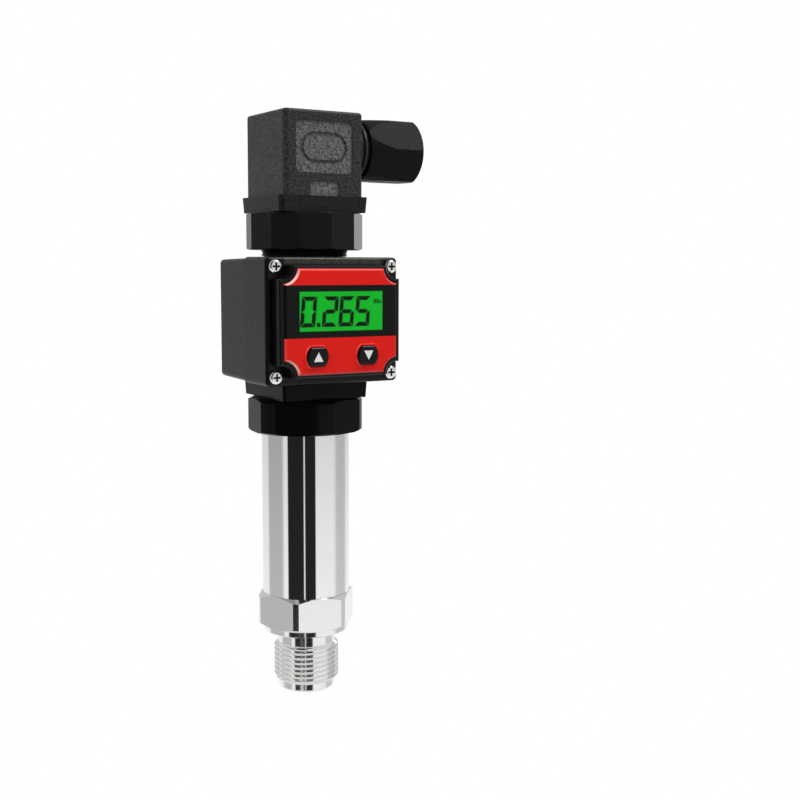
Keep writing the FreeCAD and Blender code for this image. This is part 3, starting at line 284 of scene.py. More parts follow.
def add_floor(half, level):
    """A square plane: white for the camera, pale in glossy surfaces, matt grey for other rays."""
    mesh = bpy.data.meshes.new("floor")
    corners = np.array([(-half, -half, level), (half, -half, level), (half, half, level),
                        (-half, half, level)]) * MM
    mesh.from_pydata(corners.tolist(), [], [(0, 1, 2, 3)])
    floor = bpy.data.objects.new("floor", mesh)
    bpy.context.scene.collection.objects.link(floor)
    material = bpy.data.materials.new("floor_white")
    material.use_nodes = True
    tree = material.node_tree
    tree.nodes.clear()
    path = add_node(tree, "ShaderNodeLightPath")
    plain = add_node(tree, "ShaderNodeBsdfDiffuse")
    plain.inputs["Color"].default_value = (FLOOR_GREY, FLOOR_GREY, FLOOR_GREY, 1)
    white = add_node(tree, "ShaderNodeEmission")
    glossy = maths(tree, "MULTIPLY", path.outputs["Is Glossy Ray"], FLOOR_IN_GLOSS)
    seen = maths(tree, "MAXIMUM", path.outputs["Is Camera Ray"], glossy)
    mix = add_node(tree, "ShaderNodeMixShader")
    wire(tree, seen, mix.inputs[0])
    wire(tree, plain.outputs[0], mix.inputs[1])
    wire(tree, white.outputs[0], mix.inputs[2])
    out = add_node(tree, "ShaderNodeOutputMaterial")
    wire(tree, mix.outputs[0], out.inputs["Surface"])
    mesh.materials.append(material)


add_floor(FLOOR_HALF, FLOOR_LEVEL)

# %% [markdown]
# ## Shared surface effects
# Three effects come back on many pieces, so each is a node group that is built once: the fine grain
# of a spark-eroded mould, the faint lines that a lathe or a polishing belt leaves, and a patch, a
# rectangle on the front of a piece that is 1 inside and 0 outside. Each reads Object coordinates,
# which the pieces share in metres, so one number means the same size on every piece. A group gives
# out only values and heights, and the Principled shader stays in the material itself.

# %% node groups
NOISE_SPREAD = 4.0           # noise keeps to about 0.25 to 0.75, so this takes it to -1 to 1
DARKEST_TONE = 0.05
ROUGHNESS_SHARE = 0.3        # how much of a turned line's height goes into its roughness


def new_group(name, inputs, outputs):
    """An empty shader group with float inputs {name: default} and float outputs."""
    group = bpy.data.node_groups.new(name, "ShaderNodeTree")
    for label, default in inputs.items():
        socket = group.interface.new_socket(label, in_out="INPUT", socket_type="NodeSocketFloat")
        socket.default_value = default
    for label in outputs:
        group.interface.new_socket(label, in_out="OUTPUT", socket_type="NodeSocketFloat")
    return group, group.nodes.new("NodeGroupInput"), group.nodes.new("NodeGroupOutput")


def object_axes(tree):
    """Object coordinates in millimetres, as three sockets."""
    coords = add_node(tree, "ShaderNodeTexCoord")
    scale = add_node(tree, "ShaderNodeVectorMath", operation="SCALE")
    wire(tree, coords.outputs["Object"], scale.inputs[0])
    scale.inputs["Scale"].default_value = 1 / MM
    split = add_node(tree, "ShaderNodeSeparateXYZ")
    wire(tree, scale.outputs[0], split.inputs[0])
    return split.outputs["X"], split.outputs["Y"], split.outputs["Z"]


def mould_grain_group():
    """Height = fine noise; tone = 1 +/- the same noise times the tone change."""
    group, entry, leave = new_group(
        "mould_grain", {"Grains per mm": 2.5, "Tone change": 0.2}, ["Height", "Tone"])
    coords = add_node(group, "ShaderNodeTexCoord")
    fine = add_node(group, "ShaderNodeTexNoise")
    fine.inputs["Detail"].default_value = 3.0
    fine.inputs["Roughness"].default_value = 0.6
    wire(group, coords.outputs["Object"], fine.inputs["Vector"])
    per_metre = maths(group, "MULTIPLY", entry.outputs["Grains per mm"], 1 / MM)
    wire(group, per_metre, fine.inputs["Scale"])
    wire(group, fine.outputs["Fac"], leave.inputs["Height"])
    off = maths(group, "SUBTRACT", fine.outputs["Fac"], 0.5)
    change = maths(group, "MULTIPLY", off, entry.outputs["Tone change"])
    tone = maths(group, "MULTIPLY_ADD", change, NOISE_SPREAD, 1.0)
    wire(group, maths(group, "MAXIMUM", tone, DARKEST_TONE), leave.inputs["Tone"])
    return group


def turned_lines_group():
    """Height and roughness change = noise along Z alone, which makes rings round the axis."""
    group, entry, leave = new_group(
        "turned_lines", {"Lines per mm": 4.0, "Amount": 0.5}, ["Height", "Roughness change"])
    lines = add_node(group, "ShaderNodeTexNoise", noise_dimensions="1D")
    lines.inputs["Detail"].default_value = 2.0
    wire(group, object_axes(group)[2], lines.inputs["W"])
    wire(group, entry.outputs["Lines per mm"], lines.inputs["Scale"])
    centred = maths(group, "SUBTRACT", lines.outputs["Fac"], 0.5)
    amount = maths(group, "MULTIPLY", centred, entry.outputs["Amount"])
    wire(group, amount, leave.inputs["Height"])
    rougher = maths(group, "MULTIPLY", amount, ROUGHNESS_SHARE)
    wire(group, rougher, leave.inputs["Roughness change"])
    return group


def patch_group():
    """Mask of a rectangle with round corners: with q = max(|place - centre| - half + round, 0) for
    X and for Z, it is clamp((round - length(q)) / edge)."""
    group, entry, leave = new_group(
        "patch", {"Centre X": 0.0, "Centre Z": 0.0, "Half X": 5.0, "Half Z": 5.0, "Round": 0.3,
                  "Edge": 0.1}, ["Mask"])
    x, _, z = object_axes(group)
    squares = []
    for place, axis in ((x, "X"), (z, "Z")):
        off = maths(group, "SUBTRACT", place, entry.outputs["Centre " + axis])
        past = maths(group, "SUBTRACT", maths(group, "ABSOLUTE", off), entry.outputs["Half " + axis])
        q = maths(group, "MAXIMUM", maths(group, "ADD", past, entry.outputs["Round"]), 0.0)
        squares.append(maths(group, "MULTIPLY", q, q))
    length = maths(group, "SQRT", maths(group, "ADD", *squares))
    inside = maths(group, "SUBTRACT", entry.outputs["Round"], length)
    mask = maths(group, "DIVIDE", inside, entry.outputs["Edge"], clamp=True)
    wire(group, mask, leave.inputs["Mask"])
    return group


MOULD_GRAIN = mould_grain_group()
TURNED_LINES = turned_lines_group()
PATCH = patch_group()
print("node groups:", [group.name for group in (MOULD_GRAIN, TURNED_LINES, PATCH)])

# %% material helpers
CLOUDS_PER_MM, CLOUD_TONE = 0.25, 0.02      # faint cloudiness of bare metal


def new_material(name):
    """A material with a Principled shader, its tree and that shader."""
    material = bpy.data.materials.new(name)
    material.use_nodes = True
    tree = material.node_tree
    tree.nodes.clear()
    shader = add_node(tree, "ShaderNodeBsdfPrincipled")
    out = add_node(tree, "ShaderNodeOutputMaterial")
    wire(tree, shader.outputs[0], out.inputs["Surface"])
    return material, tree, shader


def place_group(tree, group, **values):
    """The group as a node; Half_X stands for the input called Half X."""
    node = add_node(tree, "ShaderNodeGroup", node_tree=group)
    for key, value in values.items():
        node.inputs[key.replace("_", " ")].default_value = value
    return node


def patch(tree, centre, half, corner=0.3, edge=0.1):
    """Mask of a rectangle on the front, all sizes in millimetres, each pair as (X, Z)."""
    node = place_group(tree, PATCH, Centre_X=centre[0], Centre_Z=centre[1], Half_X=half[0],
                       Half_Z=half[1], Round=corner, Edge=edge)
    return node.outputs["Mask"]


def bump_from(tree, shader, height, distance_mm):
    """A Bump node of a real depth between a height and the shader's normal."""
    bump = add_node(tree, "ShaderNodeBump")
    bump.inputs["Strength"].default_value = 1.0
    bump.inputs["Distance"].default_value = distance_mm * MM
    wire(tree, height, bump.inputs["Height"])
    wire(tree, bump.outputs["Normal"], shader.inputs["Normal"])


def toned(tree, shader, colour, tone):
    """Base colour = colour times a tone that changes over the surface."""
    scale = add_node(tree, "ShaderNodeVectorMath", operation="SCALE")
    if isinstance(colour, tuple):
        scale.inputs[0].default_value = colour
    else:
        wire(tree, colour, scale.inputs[0])
    wire(tree, tone, scale.inputs["Scale"])
    wire(tree, scale.outputs[0], shader.inputs["Base Color"])


def moulded_plastic(name, colour, grains, depth, tone, roughness, specular):
    """Black or coloured plastic with the grain of its mould."""
    material, tree, shader = new_material(name)
    grain = place_group(tree, MOULD_GRAIN, Grains_per_mm=grains, Tone_change=tone)
    toned(tree, shader, colour, grain.outputs["Tone"])
    shader.inputs["Roughness"].default_value = roughness
    shader.inputs["Specular IOR Level"].default_value = specular
    bump_from(tree, shader, grain.outputs["Height"], depth)
    return material


def bare_metal(name, colour, roughness, lines, amount, depth):
    """Metal with lines round its axis in its gloss and its relief, and a faintly cloudy tone."""
    material, tree, shader = new_material(name)
    shader.inputs["Metallic"].default_value = 1.0
    marks = place_group(tree, TURNED_LINES, Lines_per_mm=lines, Amount=amount)
    grain = place_group(tree, MOULD_GRAIN, Grains_per_mm=CLOUDS_PER_MM, Tone_change=CLOUD_TONE)
    toned(tree, shader, colour, grain.outputs["Tone"])
    uneven = maths(tree, "ADD", marks.outputs["Roughness change"], roughness)
    wire(tree, uneven, shader.inputs["Roughness"])
    bump_from(tree, shader, marks.outputs["Height"], depth)
    return material


def dress(material, *names):
    """Gives CAD nodes a material in all their slots."""
    for name in names:
        piece = NODES[name]
        piece.data.materials.clear()
        piece.data.materials.append(material)


# %% [markdown]
# ## Metals
# The housing tube is polished until it mirrors, with only a trace of belt lines. The fitting is
# turned and left as it came off the lathe. Small screws are bright plated, contacts are tinned
# brass. All are one function with other numbers.

# %% metals
POLISHED = bare_metal("polished_tube", (0.86, 0.86, 0.85), 0.045, 3.0, 0.06, 0.0015)
TURNED = bare_metal("turned_steel", (0.84, 0.84, 0.83), 0.11, 5.0, 0.30, 0.004)
BRASS = bare_metal("brass", (0.78, 0.58, 0.26), 0.25, 3.0, 0.3, 0.004)
TINNED = bare_metal("tinned_contact", (0.80, 0.79, 0.74), 0.3, 3.0, 0.3, 0.004)
PLATED = bare_metal("plated_screw", (0.90, 0.89, 0.87), 0.16, 3.0, 0.1, 0.004)
dress(POLISHED, "housing_tube")
dress(TURNED, "cell_diaphragm", "sensor_cell", "cell_ring", "lower_snap_ring", "upper_snap_ring",
      "spindle", "gland_washer")
dress(PLATED, "terminal_screws", "fixing_screw")
dress(BRASS, "thread_insert")
dress(TINNED, "lower_pins", "lower_contacts", "upper_pins", "terminal_contacts")

# %% [markdown]
# ## Cover screws
# The four cover screws are bright, and painted shade makes the cross recess nearly black. The mask
# for it is built from distances: folding X and Z about the head's centre lays the four screws on
# top of one another, and the recess is where a point lies near the middle of a head and behind
# its face.

# %% cover screw heads
HEAD_R = 1.95                # mm
RECESS_R = (1.35, 1.2)       # mm from a head's middle, between which the dark comes in
RECESS_DEPTH = (0.08, 0.35)  # mm behind the face, likewise
# the recess colour is painted shade, not the screws' own colour
HEAD_BRIGHT, PAINTED_RECESS_SHADE = (0.92, 0.91, 0.88), (0.02, 0.022, 0.018)


def screw_head_material(node):
    """Painted shade where the folded radius is under the recess's and the point is behind the face.
    """
    low, high = box_mm(node)
    middle = (low + high) / 2
    reach = (high - low) / 2 - HEAD_R
    material, tree, shader = new_material("cover_screw_heads")
    shader.inputs["Metallic"].default_value = 1.0
    shader.inputs["Roughness"].default_value = 0.2
    x, y, z = object_axes(tree)
    folded = []
    for place, centre, off in ((x, middle[0], reach[0]), (z, middle[2], reach[2])):
        away = maths(tree, "ABSOLUTE", maths(tree, "SUBTRACT", place, float(centre)))
        folded.append(maths(tree, "SUBTRACT", away, float(off)))
    squares = [maths(tree, "MULTIPLY", part, part) for part in folded]
    radius = maths(tree, "SQRT", maths(tree, "ADD", *squares))
    inner = fade(tree, radius, *RECESS_R)
    sunk = fade(tree, y, *(float(low[1]) + depth for depth in RECESS_DEPTH))
    recess = maths(tree, "MULTIPLY", inner, sunk)
    grain = place_group(tree, MOULD_GRAIN, Grains_per_mm=1.5, Tone_change=0.15)
    # painted shade in the cross recess, over the bright head
    colour = mixed(tree, recess, HEAD_BRIGHT, PAINTED_RECESS_SHADE)
    toned(tree, shader, colour, grain.outputs["Tone"])
    return material


dress(screw_head_material("cover_screws"), "cover_screws")

# %% [markdown]
# ## The thread
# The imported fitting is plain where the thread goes, because fine threads make solids heavy. Here
# the groove is cut for real: a trapezium, wide at the crest and narrow at the root, is carried along
# a helix, and that coil is taken away from a merged copy of the fitting. Cutting a coil away is
# better than winding a ridge on, since the ridge's ends would stand proud of the relief.

# %% thread groove
PITCH = 1.5                  # mm, of a 20 mm fine thread
CREST_R = 10.0               # mm, outside of the thread
ROOT_R = 9.08                # mm, foot of the groove
GROOVE_TOP = 1.31            # mm, width of the groove at the crest
GROOVE_ROOT = 0.28           # mm, its width at the root
THREAD_FROM, THREAD_TO = 1.41, 14.9     # mm above the fitting's end
STEPS_PER_TURN = 96
CLEAR = 0.4                  # mm that the cutter stands out past the crest
SAME_POINT = 1e-7            # m; closer points become one
SHARP_ANGLE = 22             # degrees between two faces, from which their edge stays sharp


def groove_coil():
    """Grid: profile corner (r, dz) carried to (r cos a, r sin a, z0 + dz + pitch a / 2 pi)."""
    slope = (GROOVE_TOP - GROOVE_ROOT) / 2 / (CREST_R - ROOT_R)
    outer_half = GROOVE_TOP / 2 + slope * CLEAR
    profile = np.array([(ROOT_R, -GROOVE_ROOT / 2), (CREST_R + CLEAR, -outer_half),
                        (CREST_R + CLEAR, outer_half), (ROOT_R, GROOVE_ROOT / 2)])
    turns = (THREAD_TO - THREAD_FROM) / PITCH
    count = int(turns * STEPS_PER_TURN)
    angle = np.linspace(0, 2 * math.pi * turns, count + 1)[:, None]
    r, dz = profile[:, 0][None, :], profile[:, 1][None, :]
    grid = np.stack([r * np.cos(angle), r * np.sin(angle),
                     THREAD_FROM + dz + PITCH * angle / (2 * math.pi)], axis=-1)
    corners = len(profile)
    step, side = np.meshgrid(np.arange(count), np.arange(corners), indexing="ij")
    after = (side + 1) % corners
    quads = np.stack([step * corners + side, (step + 1) * corners + side,
                      (step + 1) * corners + after, step * corners + after], axis=-1).reshape(-1, 4)
    ends = [tuple(range(corners)), tuple(reversed(range(count * corners, (count + 1) * corners)))]
    return grid.reshape(-1, 3) * MM, [tuple(map(int, quad)) for quad in quads] + ends


def new_piece(name, points, faces):
    """A mesh object at the origin, with its normals turned outwards."""
    mesh = bpy.data.meshes.new(name)
    mesh.from_pydata(np.asarray(points).tolist(), [], faces)
    work = bmesh.new()
    work.from_mesh(mesh)
    bmesh.ops.recalc_face_normals(work, faces=work.faces)
    work.to_mesh(mesh)
    work.free()
    piece = bpy.data.objects.new(name, mesh)
    bpy.context.scene.collection.objects.link(piece)
    return piece


def merged_copy(name, node):
    """Copy of a CAD node's mesh with its loose triangles joined at their corners."""
    mesh = NODES[node].data.copy()
    mesh.name = name
    work = bmesh.new()
    work.from_mesh(mesh)
    bmesh.ops.remove_doubles(work, verts=work.verts, dist=SAME_POINT)
    work.to_mesh(mesh)
    work.free()
    piece = bpy.data.objects.new(name, mesh)
    bpy.context.scene.collection.objects.link(piece)
    return piece


# %% threaded fitting
def threaded_fitting():
    """The fitting minus the coil, smooth except at its real edges."""
    fitting = merged_copy("threaded_fitting", "process_fitting")
    coil = new_piece("thread_cutter", *groove_coil())
    cut = fitting.modifiers.new("groove", "BOOLEAN")
    cut.operation = "DIFFERENCE"
    cut.solver = "EXACT"
    cut.object = coil
    graph = bpy.context.evaluated_depsgraph_get()
    mesh = bpy.data.meshes.new_from_object(fitting.evaluated_get(graph))
    fitting.modifiers.clear()
    fitting.data = mesh
    bpy.data.objects.remove(coil)
    stale = mesh.attributes.get("custom_normal")    # the normals from before the cut
    if stale:
        mesh.attributes.remove(stale)
    mesh.polygons.foreach_set("use_smooth", np.ones(len(mesh.polygons), bool))
    mesh.set_sharp_from_angle(angle=math.radians(SHARP_ANGLE))
    mesh.materials.clear()
    mesh.materials.append(TURNED)
    return fitting


fitting = threaded_fitting()
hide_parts("process_fitting")
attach(fitting, ROOT)
print("threaded fitting: %d faces" % len(fitting.data.polygons))

# %% [markdown]
# ## Plastics and rubber
# The nut is glass-filled nylon with a visible grain. The display head is finer and a little
# glossier, and its cover is darker than its case. The collars are smooth and nearly black. Rubber
# is matt. The specular level is low on all of them: the fillers and the grain take the shine away.

# %% plastics
NUT = moulded_plastic("gland_nylon", (0.0075, 0.0075, 0.0075), 1.6, 0.012, 0.60, 0.48, 0.08)
CASE = moulded_plastic("case_plastic", (0.0170, 0.0176, 0.0162), 1.7, 0.008, 1.0, 0.40, 0.20)
COLLAR = moulded_plastic("collar_plastic", (0.0034, 0.0034, 0.0033), 1.5, 0.002, 0.2, 0.24, 0.08)
BASE = moulded_plastic("base_plastic", (0.0085, 0.0085, 0.0084), 1.5, 0.003, 0.25, 0.22, 0.17)
KEY = moulded_plastic("key_plastic", (0.0008, 0.0008, 0.0012), 2.0, 0.001, 0.1, 0.08, 0.24)
RUBBER = moulded_plastic("rubber", (0.012, 0.012, 0.012), 3.0, 0.01, 0.2, 0.7, 0.2)
INSULATOR = moulded_plastic("insulator", (0.60, 0.58, 0.50), 2.0, 0.01, 0.05, 0.45, 0.5)
BOARD = moulded_plastic("circuit_board", (0.02, 0.16, 0.06), 1.0, 0.01, 0.2, 0.35, 0.5)
CHIP = moulded_plastic("chip_black", (0.03, 0.03, 0.03), 3.0, 0.01, 0.2, 0.5, 0.5)
LIGHT_GUIDE = moulded_plastic("light_guide", (0.55, 0.85, 0.55), 1.0, 0.002, 0.05, 0.3, 0.5)
dress(NUT, "gland_nut")
dress(CASE, "display_case")
dress(COLLAR, "lower_collar", "lower_pin_base", "lower_socket")
dress(BASE, "upper_base")
dress(KEY, "up_button", "down_button", "up_plunger", "down_plunger")
dress(RUBBER, "cell_o_ring", "base_o_ring", "lower_gasket", "connector_gasket", "cover_gasket",
      "zebra_strips", "gland_grommet", "screw_seal", "output_leads")
dress(INSULATOR, "lower_block", "terminal_block", "sensor_ribbon")
dress(BOARD, "amplifier_board", "display_board")
dress(CHIP, "amplifier_parts", "board_parts", "key_switches")
dress(LIGHT_GUIDE, "backlight")
print("plastics:", len([m for m in bpy.data.materials if "plastic" in m.name]))

# %% [markdown]
# ## Connector housing
# One moulding, three textures: the walls are matt with a fine grain, the rim at the foot is smooth
# and darker, and the sunk panel and the small rectangle on the front are etched coarser, which
# makes them look lighter. Patches tell the shader where each texture lies, so the mesh needs no
# extra edges.

# %% connector material
RIM_TOP = 151.05             # mm, where the rim ends and the walls begin
RIM_FADE = (0.15, -0.05)     # mm above that height, from the wall's tone to the rim's
PANEL_AT, PANEL_HALF, PANEL_CORNER = (0.0, 165.05), (9.25, 7.45), 1.5   # mm
LABEL_AT, LABEL_HALF = (0.0, 153.1), (4.7, 2.1)     # mm
FRONT_Y = (-11.5, -12.4)     # mm, between which the patches on the front come in
# the darker floor of the oval groove is painted shade
GROOVE_Y = (-12.9, -12.75)   # mm, between which the oval groove's darker floor comes in
ETCHED_LIFT, RIM_DROP, GROOVE_PAINTED_SHADE = 2.9, -0.72, -0.45  # change of the wall's tone, 0 being none
WALL_BLACK = (0.030, 0.030, 0.029)


def connector_material():
    """Wall colour times tone; lighter in the patches, darker in the rim, and painted shade in the
    groove.
    """
    material, tree, shader = new_material("connector_nylon")
    _, y, z = object_axes(tree)
    front = fade(tree, y, *FRONT_Y)
    panel = patch(tree, PANEL_AT, PANEL_HALF, PANEL_CORNER)
    patches = maths(tree, "MAXIMUM", panel, patch(tree, LABEL_AT, LABEL_HALF))
    etched = maths(tree, "MULTIPLY", patches, front)
    groove = maths(tree, "MULTIPLY", etched, fade(tree, y, *GROOVE_Y))
    rim = fade(tree, z, *(RIM_TOP + step for step in RIM_FADE))
    fine = place_group(tree, MOULD_GRAIN, Grains_per_mm=1.5, Tone_change=1.3)
    coarse = place_group(tree, MOULD_GRAIN, Grains_per_mm=1.4, Tone_change=1.1)
    lighter = maths(tree, "MULTIPLY_ADD", etched, ETCHED_LIFT, 1.0)
    darker = maths(tree, "MULTIPLY_ADD", rim, RIM_DROP, 1.0)
    # painted shade on the groove's floor
    sunk = maths(tree, "MULTIPLY_ADD", groove, GROOVE_PAINTED_SHADE, 1.0)
    level = maths(tree, "MULTIPLY", maths(tree, "MULTIPLY", lighter, darker), sunk)
    blend = add_node(tree, "ShaderNodeMix", data_type="FLOAT")
    wire(tree, etched, blend.inputs["Factor"])
    wire(tree, fine.outputs["Tone"], blend.inputs[2])
    wire(tree, coarse.outputs["Tone"], blend.inputs[3])
    toned(tree, shader, WALL_BLACK, maths(tree, "MULTIPLY", blend.outputs[0], level))
    shader.inputs["Roughness"].default_value = 0.42
    shader.inputs["Specular IOR Level"].default_value = 0.22
    bump_from(tree, shader, fine.outputs["Height"], 0.02)
    return material


dress(connector_material(), "connector_housing")

# %% [markdown]
# ## Front cover
# The cover is glossier and blacker than the case. A patch makes the strip above the raised block
# paler.

# %% cover material
STRIP_AT, STRIP_HALF = (0.0, 132.3), (16.2, 1.35)   # mm
STRIP_CORNER, STRIP_EDGE = 0.6, 0.6     # mm
COVER_BLACK, STRIP_GREY = (0.0028, 0.0028, 0.0026), (0.040, 0.038, 0.033)


def cover_material():
    """Near black, and lighter in the strip above the block, where its grain shows more."""
    material, tree, shader = new_material("cover_plastic")
    grain = place_group(tree, MOULD_GRAIN, Grains_per_mm=1.3, Tone_change=0.8)
    strip = patch(tree, STRIP_AT, STRIP_HALF, STRIP_CORNER, STRIP_EDGE)
    colour = mixed(tree, strip, COVER_BLACK, STRIP_GREY)
    toned(tree, shader, colour, grain.outputs["Tone"])
    shader.inputs["Roughness"].default_value = 0.28
    shader.inputs["Specular IOR Level"].default_value = 0.22
    bump_from(tree, shader, grain.outputs["Height"], 0.006)
    return material


dress(cover_material(), "front_cover")

# %% [markdown]
# ## Fascia panel
# The panel is a moulded red part whose middle band is printed black round the window. The print is
# a patch far wider than the panel. The bevel round its edge gets a painted highlight, a paler red,
# most of all in the two scooped corners on the left. The object-space normal tells how a face
# leans, and stays the same when the head is turned.

# %% fascia panel
BAND_LOW, BAND_HIGH = 110.3, 125.35     # mm, edges of the black print
RED = (0.86, 0.013, 0.009)
PRINT_BLACK = (0.0045, 0.0050, 0.0045)
# colour of the painted highlight on the bevel
PAINTED_EDGE_HIGHLIGHT = (1.0, 0.70, 0.64)
BAND_WIDE = 40.0             # mm, half the width of the print, past both edges of the panel
BAND_CORNER, BAND_EDGE = 0.1, 0.05      # mm
KEYS_AT, KEYS_HALF = (0.0, 104.95), (13.0, 4.3)     # mm, round the two openings for the keys
NEAR_FRONT, NEAR_SIDE = (0.95, 0.85), (0.25, 0.45)  # |ny| of a face, where the bevel's mask fades
# shares of the painted highlight, and below, its drop round the keys
HIGHLIGHT_ALL, HIGHLIGHT_UPRIGHT, HIGHLIGHT_LEFT = 0.05, 0.10, 3.2   # shares of the pale edge, as the formula says
KEYS_HIGHLIGHT_DROP = -0.85            # change of that share round the keys


def fascia_material():
    """Red with a black band, and a painted highlight on the bevel. From a face's normal (nx, ny,
    nz), the highlight's share is a + b |nz| + c max(-nx, 0) |nz|, a, b and c being the three shares
    listed above."""
    material, tree, shader = new_material("fascia_print")
    coords = add_node(tree, "ShaderNodeTexCoord")
    lean = add_node(tree, "ShaderNodeSeparateXYZ")
    wire(tree, coords.outputs["Normal"], lean.inputs[0])
    steep = maths(tree, "ABSOLUTE", lean.outputs["Y"])
    bevel = maths(tree, "MULTIPLY", fade(tree, steep, *NEAR_FRONT), fade(tree, steep, *NEAR_SIDE))
    upright = maths(tree, "ABSOLUTE", lean.outputs["Z"])
    leftward = maths(tree, "MAXIMUM", maths(tree, "MULTIPLY", lean.outputs["X"], -1.0), 0.0)
    # painted highlight: a share on bevel faces that lean up or down, much more where they also face
    # left
    corner = maths(tree, "MULTIPLY", maths(tree, "MULTIPLY", leftward, upright), HIGHLIGHT_LEFT)
    light = maths(tree, "ADD", maths(tree, "MULTIPLY_ADD", upright, HIGHLIGHT_UPRIGHT, HIGHLIGHT_ALL), corner)
    keys = patch(tree, KEYS_AT, KEYS_HALF)
    light = maths(tree, "MULTIPLY", light, maths(tree, "MULTIPLY_ADD", keys, KEYS_HIGHLIGHT_DROP, 1.0))
    edge = maths(tree, "MULTIPLY", light, bevel, clamp=True)
    # the bevel's red is tinted pale here as a painted highlight
    red = mixed(tree, edge, RED, PAINTED_EDGE_HIGHLIGHT)
    middle, half = (BAND_LOW + BAND_HIGH) / 2, (BAND_HIGH - BAND_LOW) / 2
    band = patch(tree, (0.0, middle), (BAND_WIDE, half), BAND_CORNER, BAND_EDGE)
    grain = place_group(tree, MOULD_GRAIN, Grains_per_mm=0.6, Tone_change=0.03)
    toned(tree, shader, mixed(tree, band, red, PRINT_BLACK), grain.outputs["Tone"])
    shader.inputs["Roughness"].default_value = 0.25
    shader.inputs["Specular IOR Level"].default_value = 0.14
    bump_from(tree, shader, grain.outputs["Height"], 0.002)
    return material


dress(fascia_material(), "fascia_panel")

# %% [markdown]
# ## Window and lit glass
# The green comes from behind the glass, so the glass gives out light of its own at about the level
# at which its colour is written. The pane in front is clear.

# %% display glass
LCD_GREEN = (0.009, 0.41, 0.024)
UNLIT_GREEN = (0.004, 0.02, 0.004, 1)
CLEAR_WHITE = (1, 1, 1, 1)
PANE_ROUGHNESS = 0.04        # at the top of the grain


def lit_glass():
    """Green that changes a little from place to place, as a light guide does."""
    material, tree, shader = new_material("lit_glass")
    grain = place_group(tree, MOULD_GRAIN, Grains_per_mm=0.06, Tone_change=0.06)
    scale = add_node(tree, "ShaderNodeVectorMath", operation="SCALE")
    scale.inputs[0].default_value = LCD_GREEN
    wire(tree, grain.outputs["Tone"], scale.inputs["Scale"])
    wire(tree, scale.outputs[0], shader.inputs["Emission Color"])
    shader.inputs["Emission Strength"].default_value = 1.0
    shader.inputs["Base Color"].default_value = UNLIT_GREEN
    shader.inputs["Roughness"].default_value = 0.3
    shader.inputs["Specular IOR Level"].default_value = 0.2
    return material


def clear_pane():
    """Clear acrylic with a faint change in its gloss."""
    material, tree, shader = new_material("clear_pane")
    shader.inputs["Base Color"].default_value = CLEAR_WHITE
    shader.inputs["Transmission Weight"].default_value = 1.0
    shader.inputs["IOR"].default_value = 1.12
    grain = place_group(tree, MOULD_GRAIN, Grains_per_mm=0.3)
    uneven = maths(tree, "MULTIPLY", grain.outputs["Height"], PANE_ROUGHNESS)
    wire(tree, uneven, shader.inputs["Roughness"])
    return material


dress(lit_glass(), "lcd_glass")
dress(clear_pane(), "window_lens")

# %% [markdown]
# ## Figures on the display
# A seven-segment figure has three kinds of bar: mitred ones at the top and the foot, uprights that
# are cut to fit them, and a middle bar with two points. One set of outlines serves every figure.
# They are leaned to the right by a few degrees and given a small thickness, most of which lies
# in the glass.

# %% figure outlines
LIT = {"0": "abcdef", "2": "abdeg", "5": "acdfg", "6": "acdefg"}
FIGURE_W, FIGURE_H = 4.85, 8.72         # mm, outer size of a figure
BAR = 1.2                    # mm, width of a bar
GAP = 0.09                   # mm, half of the gap between two bars
LEAN = math.tan(math.radians(5.0))
FIGURE_FOOT = 113.4          # mm, foot of the figures
FIGURE_LEFT = (-13.35, -6.4, -1.05, 4.25)  # mm, left edge of each figure at its foot
POINT_AT, POINT_HALF = (-7.4, 0.6), 0.56    # mm
MARK_LEFT, MARK_FOOT = 10.9, 6.55       # mm, small ticks that stand where a unit would
TICKS = [(0.0, 0.65), (0.55, 0.65), (1.1, 0.65), (1.65, 0.42), (2.2, 0.42)]  # mm, place and half
TICK_HALF = 0.19             # mm, half the width of each
FIGURE_PROUD, FIGURE_SUNK = 0.02, 0.05  # mm in front of the glass's face and behind it


def bar_outlines():
    """Corner arrays of the seven bars; the right-hand ones mirror the left-hand ones."""
    w, h, t, g = FIGURE_W, FIGURE_H, BAR, GAP
    m = h / 2
    top = np.array([(g, h), (w - g, h), (w - t - g, h - t), (t + g, h - t)])
    upper = np.array([(0, h - g), (t, h - t - g), (t, m + t / 2 + g), (t / 2, m + g), (0, m + g)])
    middle = np.array([(t / 2 + g, m), (t + g, m + t / 2), (w - t - g, m + t / 2),
                       (w - t / 2 - g, m), (w - t - g, m - t / 2), (t + g, m - t / 2)])
    down, across = np.array([(1, -1)]), np.array([(-1, 1)])
    lower = upper * down + (0, h)
    return {"a": top, "d": top * down + (0, h), "f": upper, "e": lower, "g": middle,
            "b": upper * across + (w, 0), "c": lower * across + (w, 0)}


def rectangle(centre, half_x, half_z):
    return np.array([(-1, -1), (1, -1), (1, 1), (-1, 1)]) * (half_x, half_z) + centre


def figure_outlines():
    """The reading 0.265, its point and the ticks, from the figures' foot up."""
    bars = bar_outlines()
    outlines = [bars[letter] + (left, 0) for character, left in zip("0265", FIGURE_LEFT)
                for letter in LIT[character]]
    outlines = [np.column_stack([o[:, 0] + LEAN * o[:, 1], o[:, 1]]) for o in outlines]
    outlines.append(rectangle(POINT_AT, POINT_HALF, POINT_HALF))
    outlines += [rectangle((MARK_LEFT + x, MARK_FOOT + half), TICK_HALF, half) for x, half in TICKS]
    return outlines


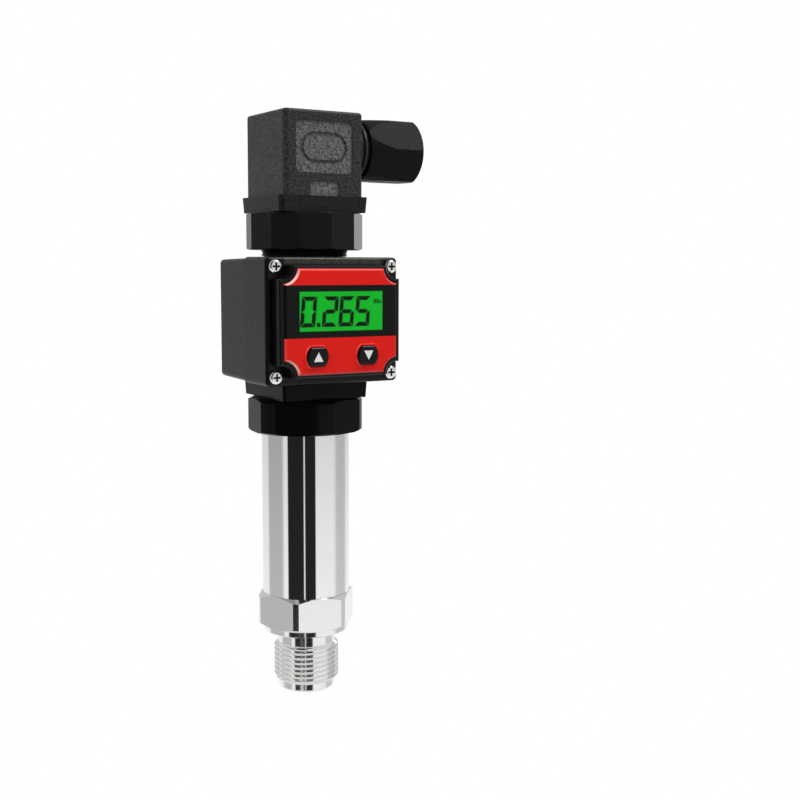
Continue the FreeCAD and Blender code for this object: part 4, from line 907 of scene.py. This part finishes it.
# %% flat plates
def plates(name, outlines, front, back, origin):
    """Each outline (x, z) swept from y = front to y = back, with a cap at both ends."""
    points, faces, base = [], [], 0
    for outline in outlines:
        count = len(outline)
        flat = np.asarray(outline, float) + origin
        for depth in (front, back):
            points.append(np.column_stack([flat[:, 0], np.full(count, depth), flat[:, 1]]))
        near = base + np.arange(count)
        far = near + count
        rim = np.column_stack([near, np.roll(near, -1), np.roll(far, -1), far])
        faces += [near.tolist(), far[::-1].tolist()] + rim.tolist()
        base += 2 * count
    return new_piece(name, np.concatenate(points) * MM, faces)


GLASS_FRONT = box_mm("lcd_glass")[0][1]
FIGURE_INK = moulded_plastic("figure_ink", (0.001, 0.005, 0.001), 2.0, 0.001, 0.1, 0.5, 0.1)
figures = plates("display_figures", figure_outlines(), GLASS_FRONT - FIGURE_PROUD,
                 GLASS_FRONT + FIGURE_SUNK, (0, FIGURE_FOOT))
figures.data.materials.append(FIGURE_INK)
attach(figures, HEAD)
print("display figures: %d faces" % len(figures.data.polygons))

# %% [markdown]
# ## Key symbols
# Each key has a white triangle printed on it: up on the left, down on the right. The print is thin
# but real, so it is a small plate that stands a few hundredths of a millimetre proud.

# %% key symbols
WHITE_PRINT = moulded_plastic("white_print", (0.92, 0.92, 0.92), 2.0, 0.002, 0.03, 0.4, 0.3)
SYMBOL_HALF = (1.5, 1.35)    # mm
SYMBOL_PROUD, SYMBOL_SUNK = 0.03, 0.1   # mm in front of the key's face and behind it


def key_symbol(name, node, direction, body):
    """Triangle in the middle of a key's face; direction is 1 for up and -1 for down."""
    low, high = box_mm(node)
    middle = ((low + high) / 2)[[0, 2]]
    outline = np.array([(-1, -1), (1, -1), (0, 1)]) * SYMBOL_HALF * (1, direction)
    piece = plates(name, [outline], low[1] - SYMBOL_PROUD, low[1] + SYMBOL_SUNK, middle)
    piece.data.materials.append(WHITE_PRINT)
    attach(piece, body)


key_symbol("up_symbol", "up_button", 1, "up_key")
key_symbol("down_symbol", "down_button", -1, "down_key")
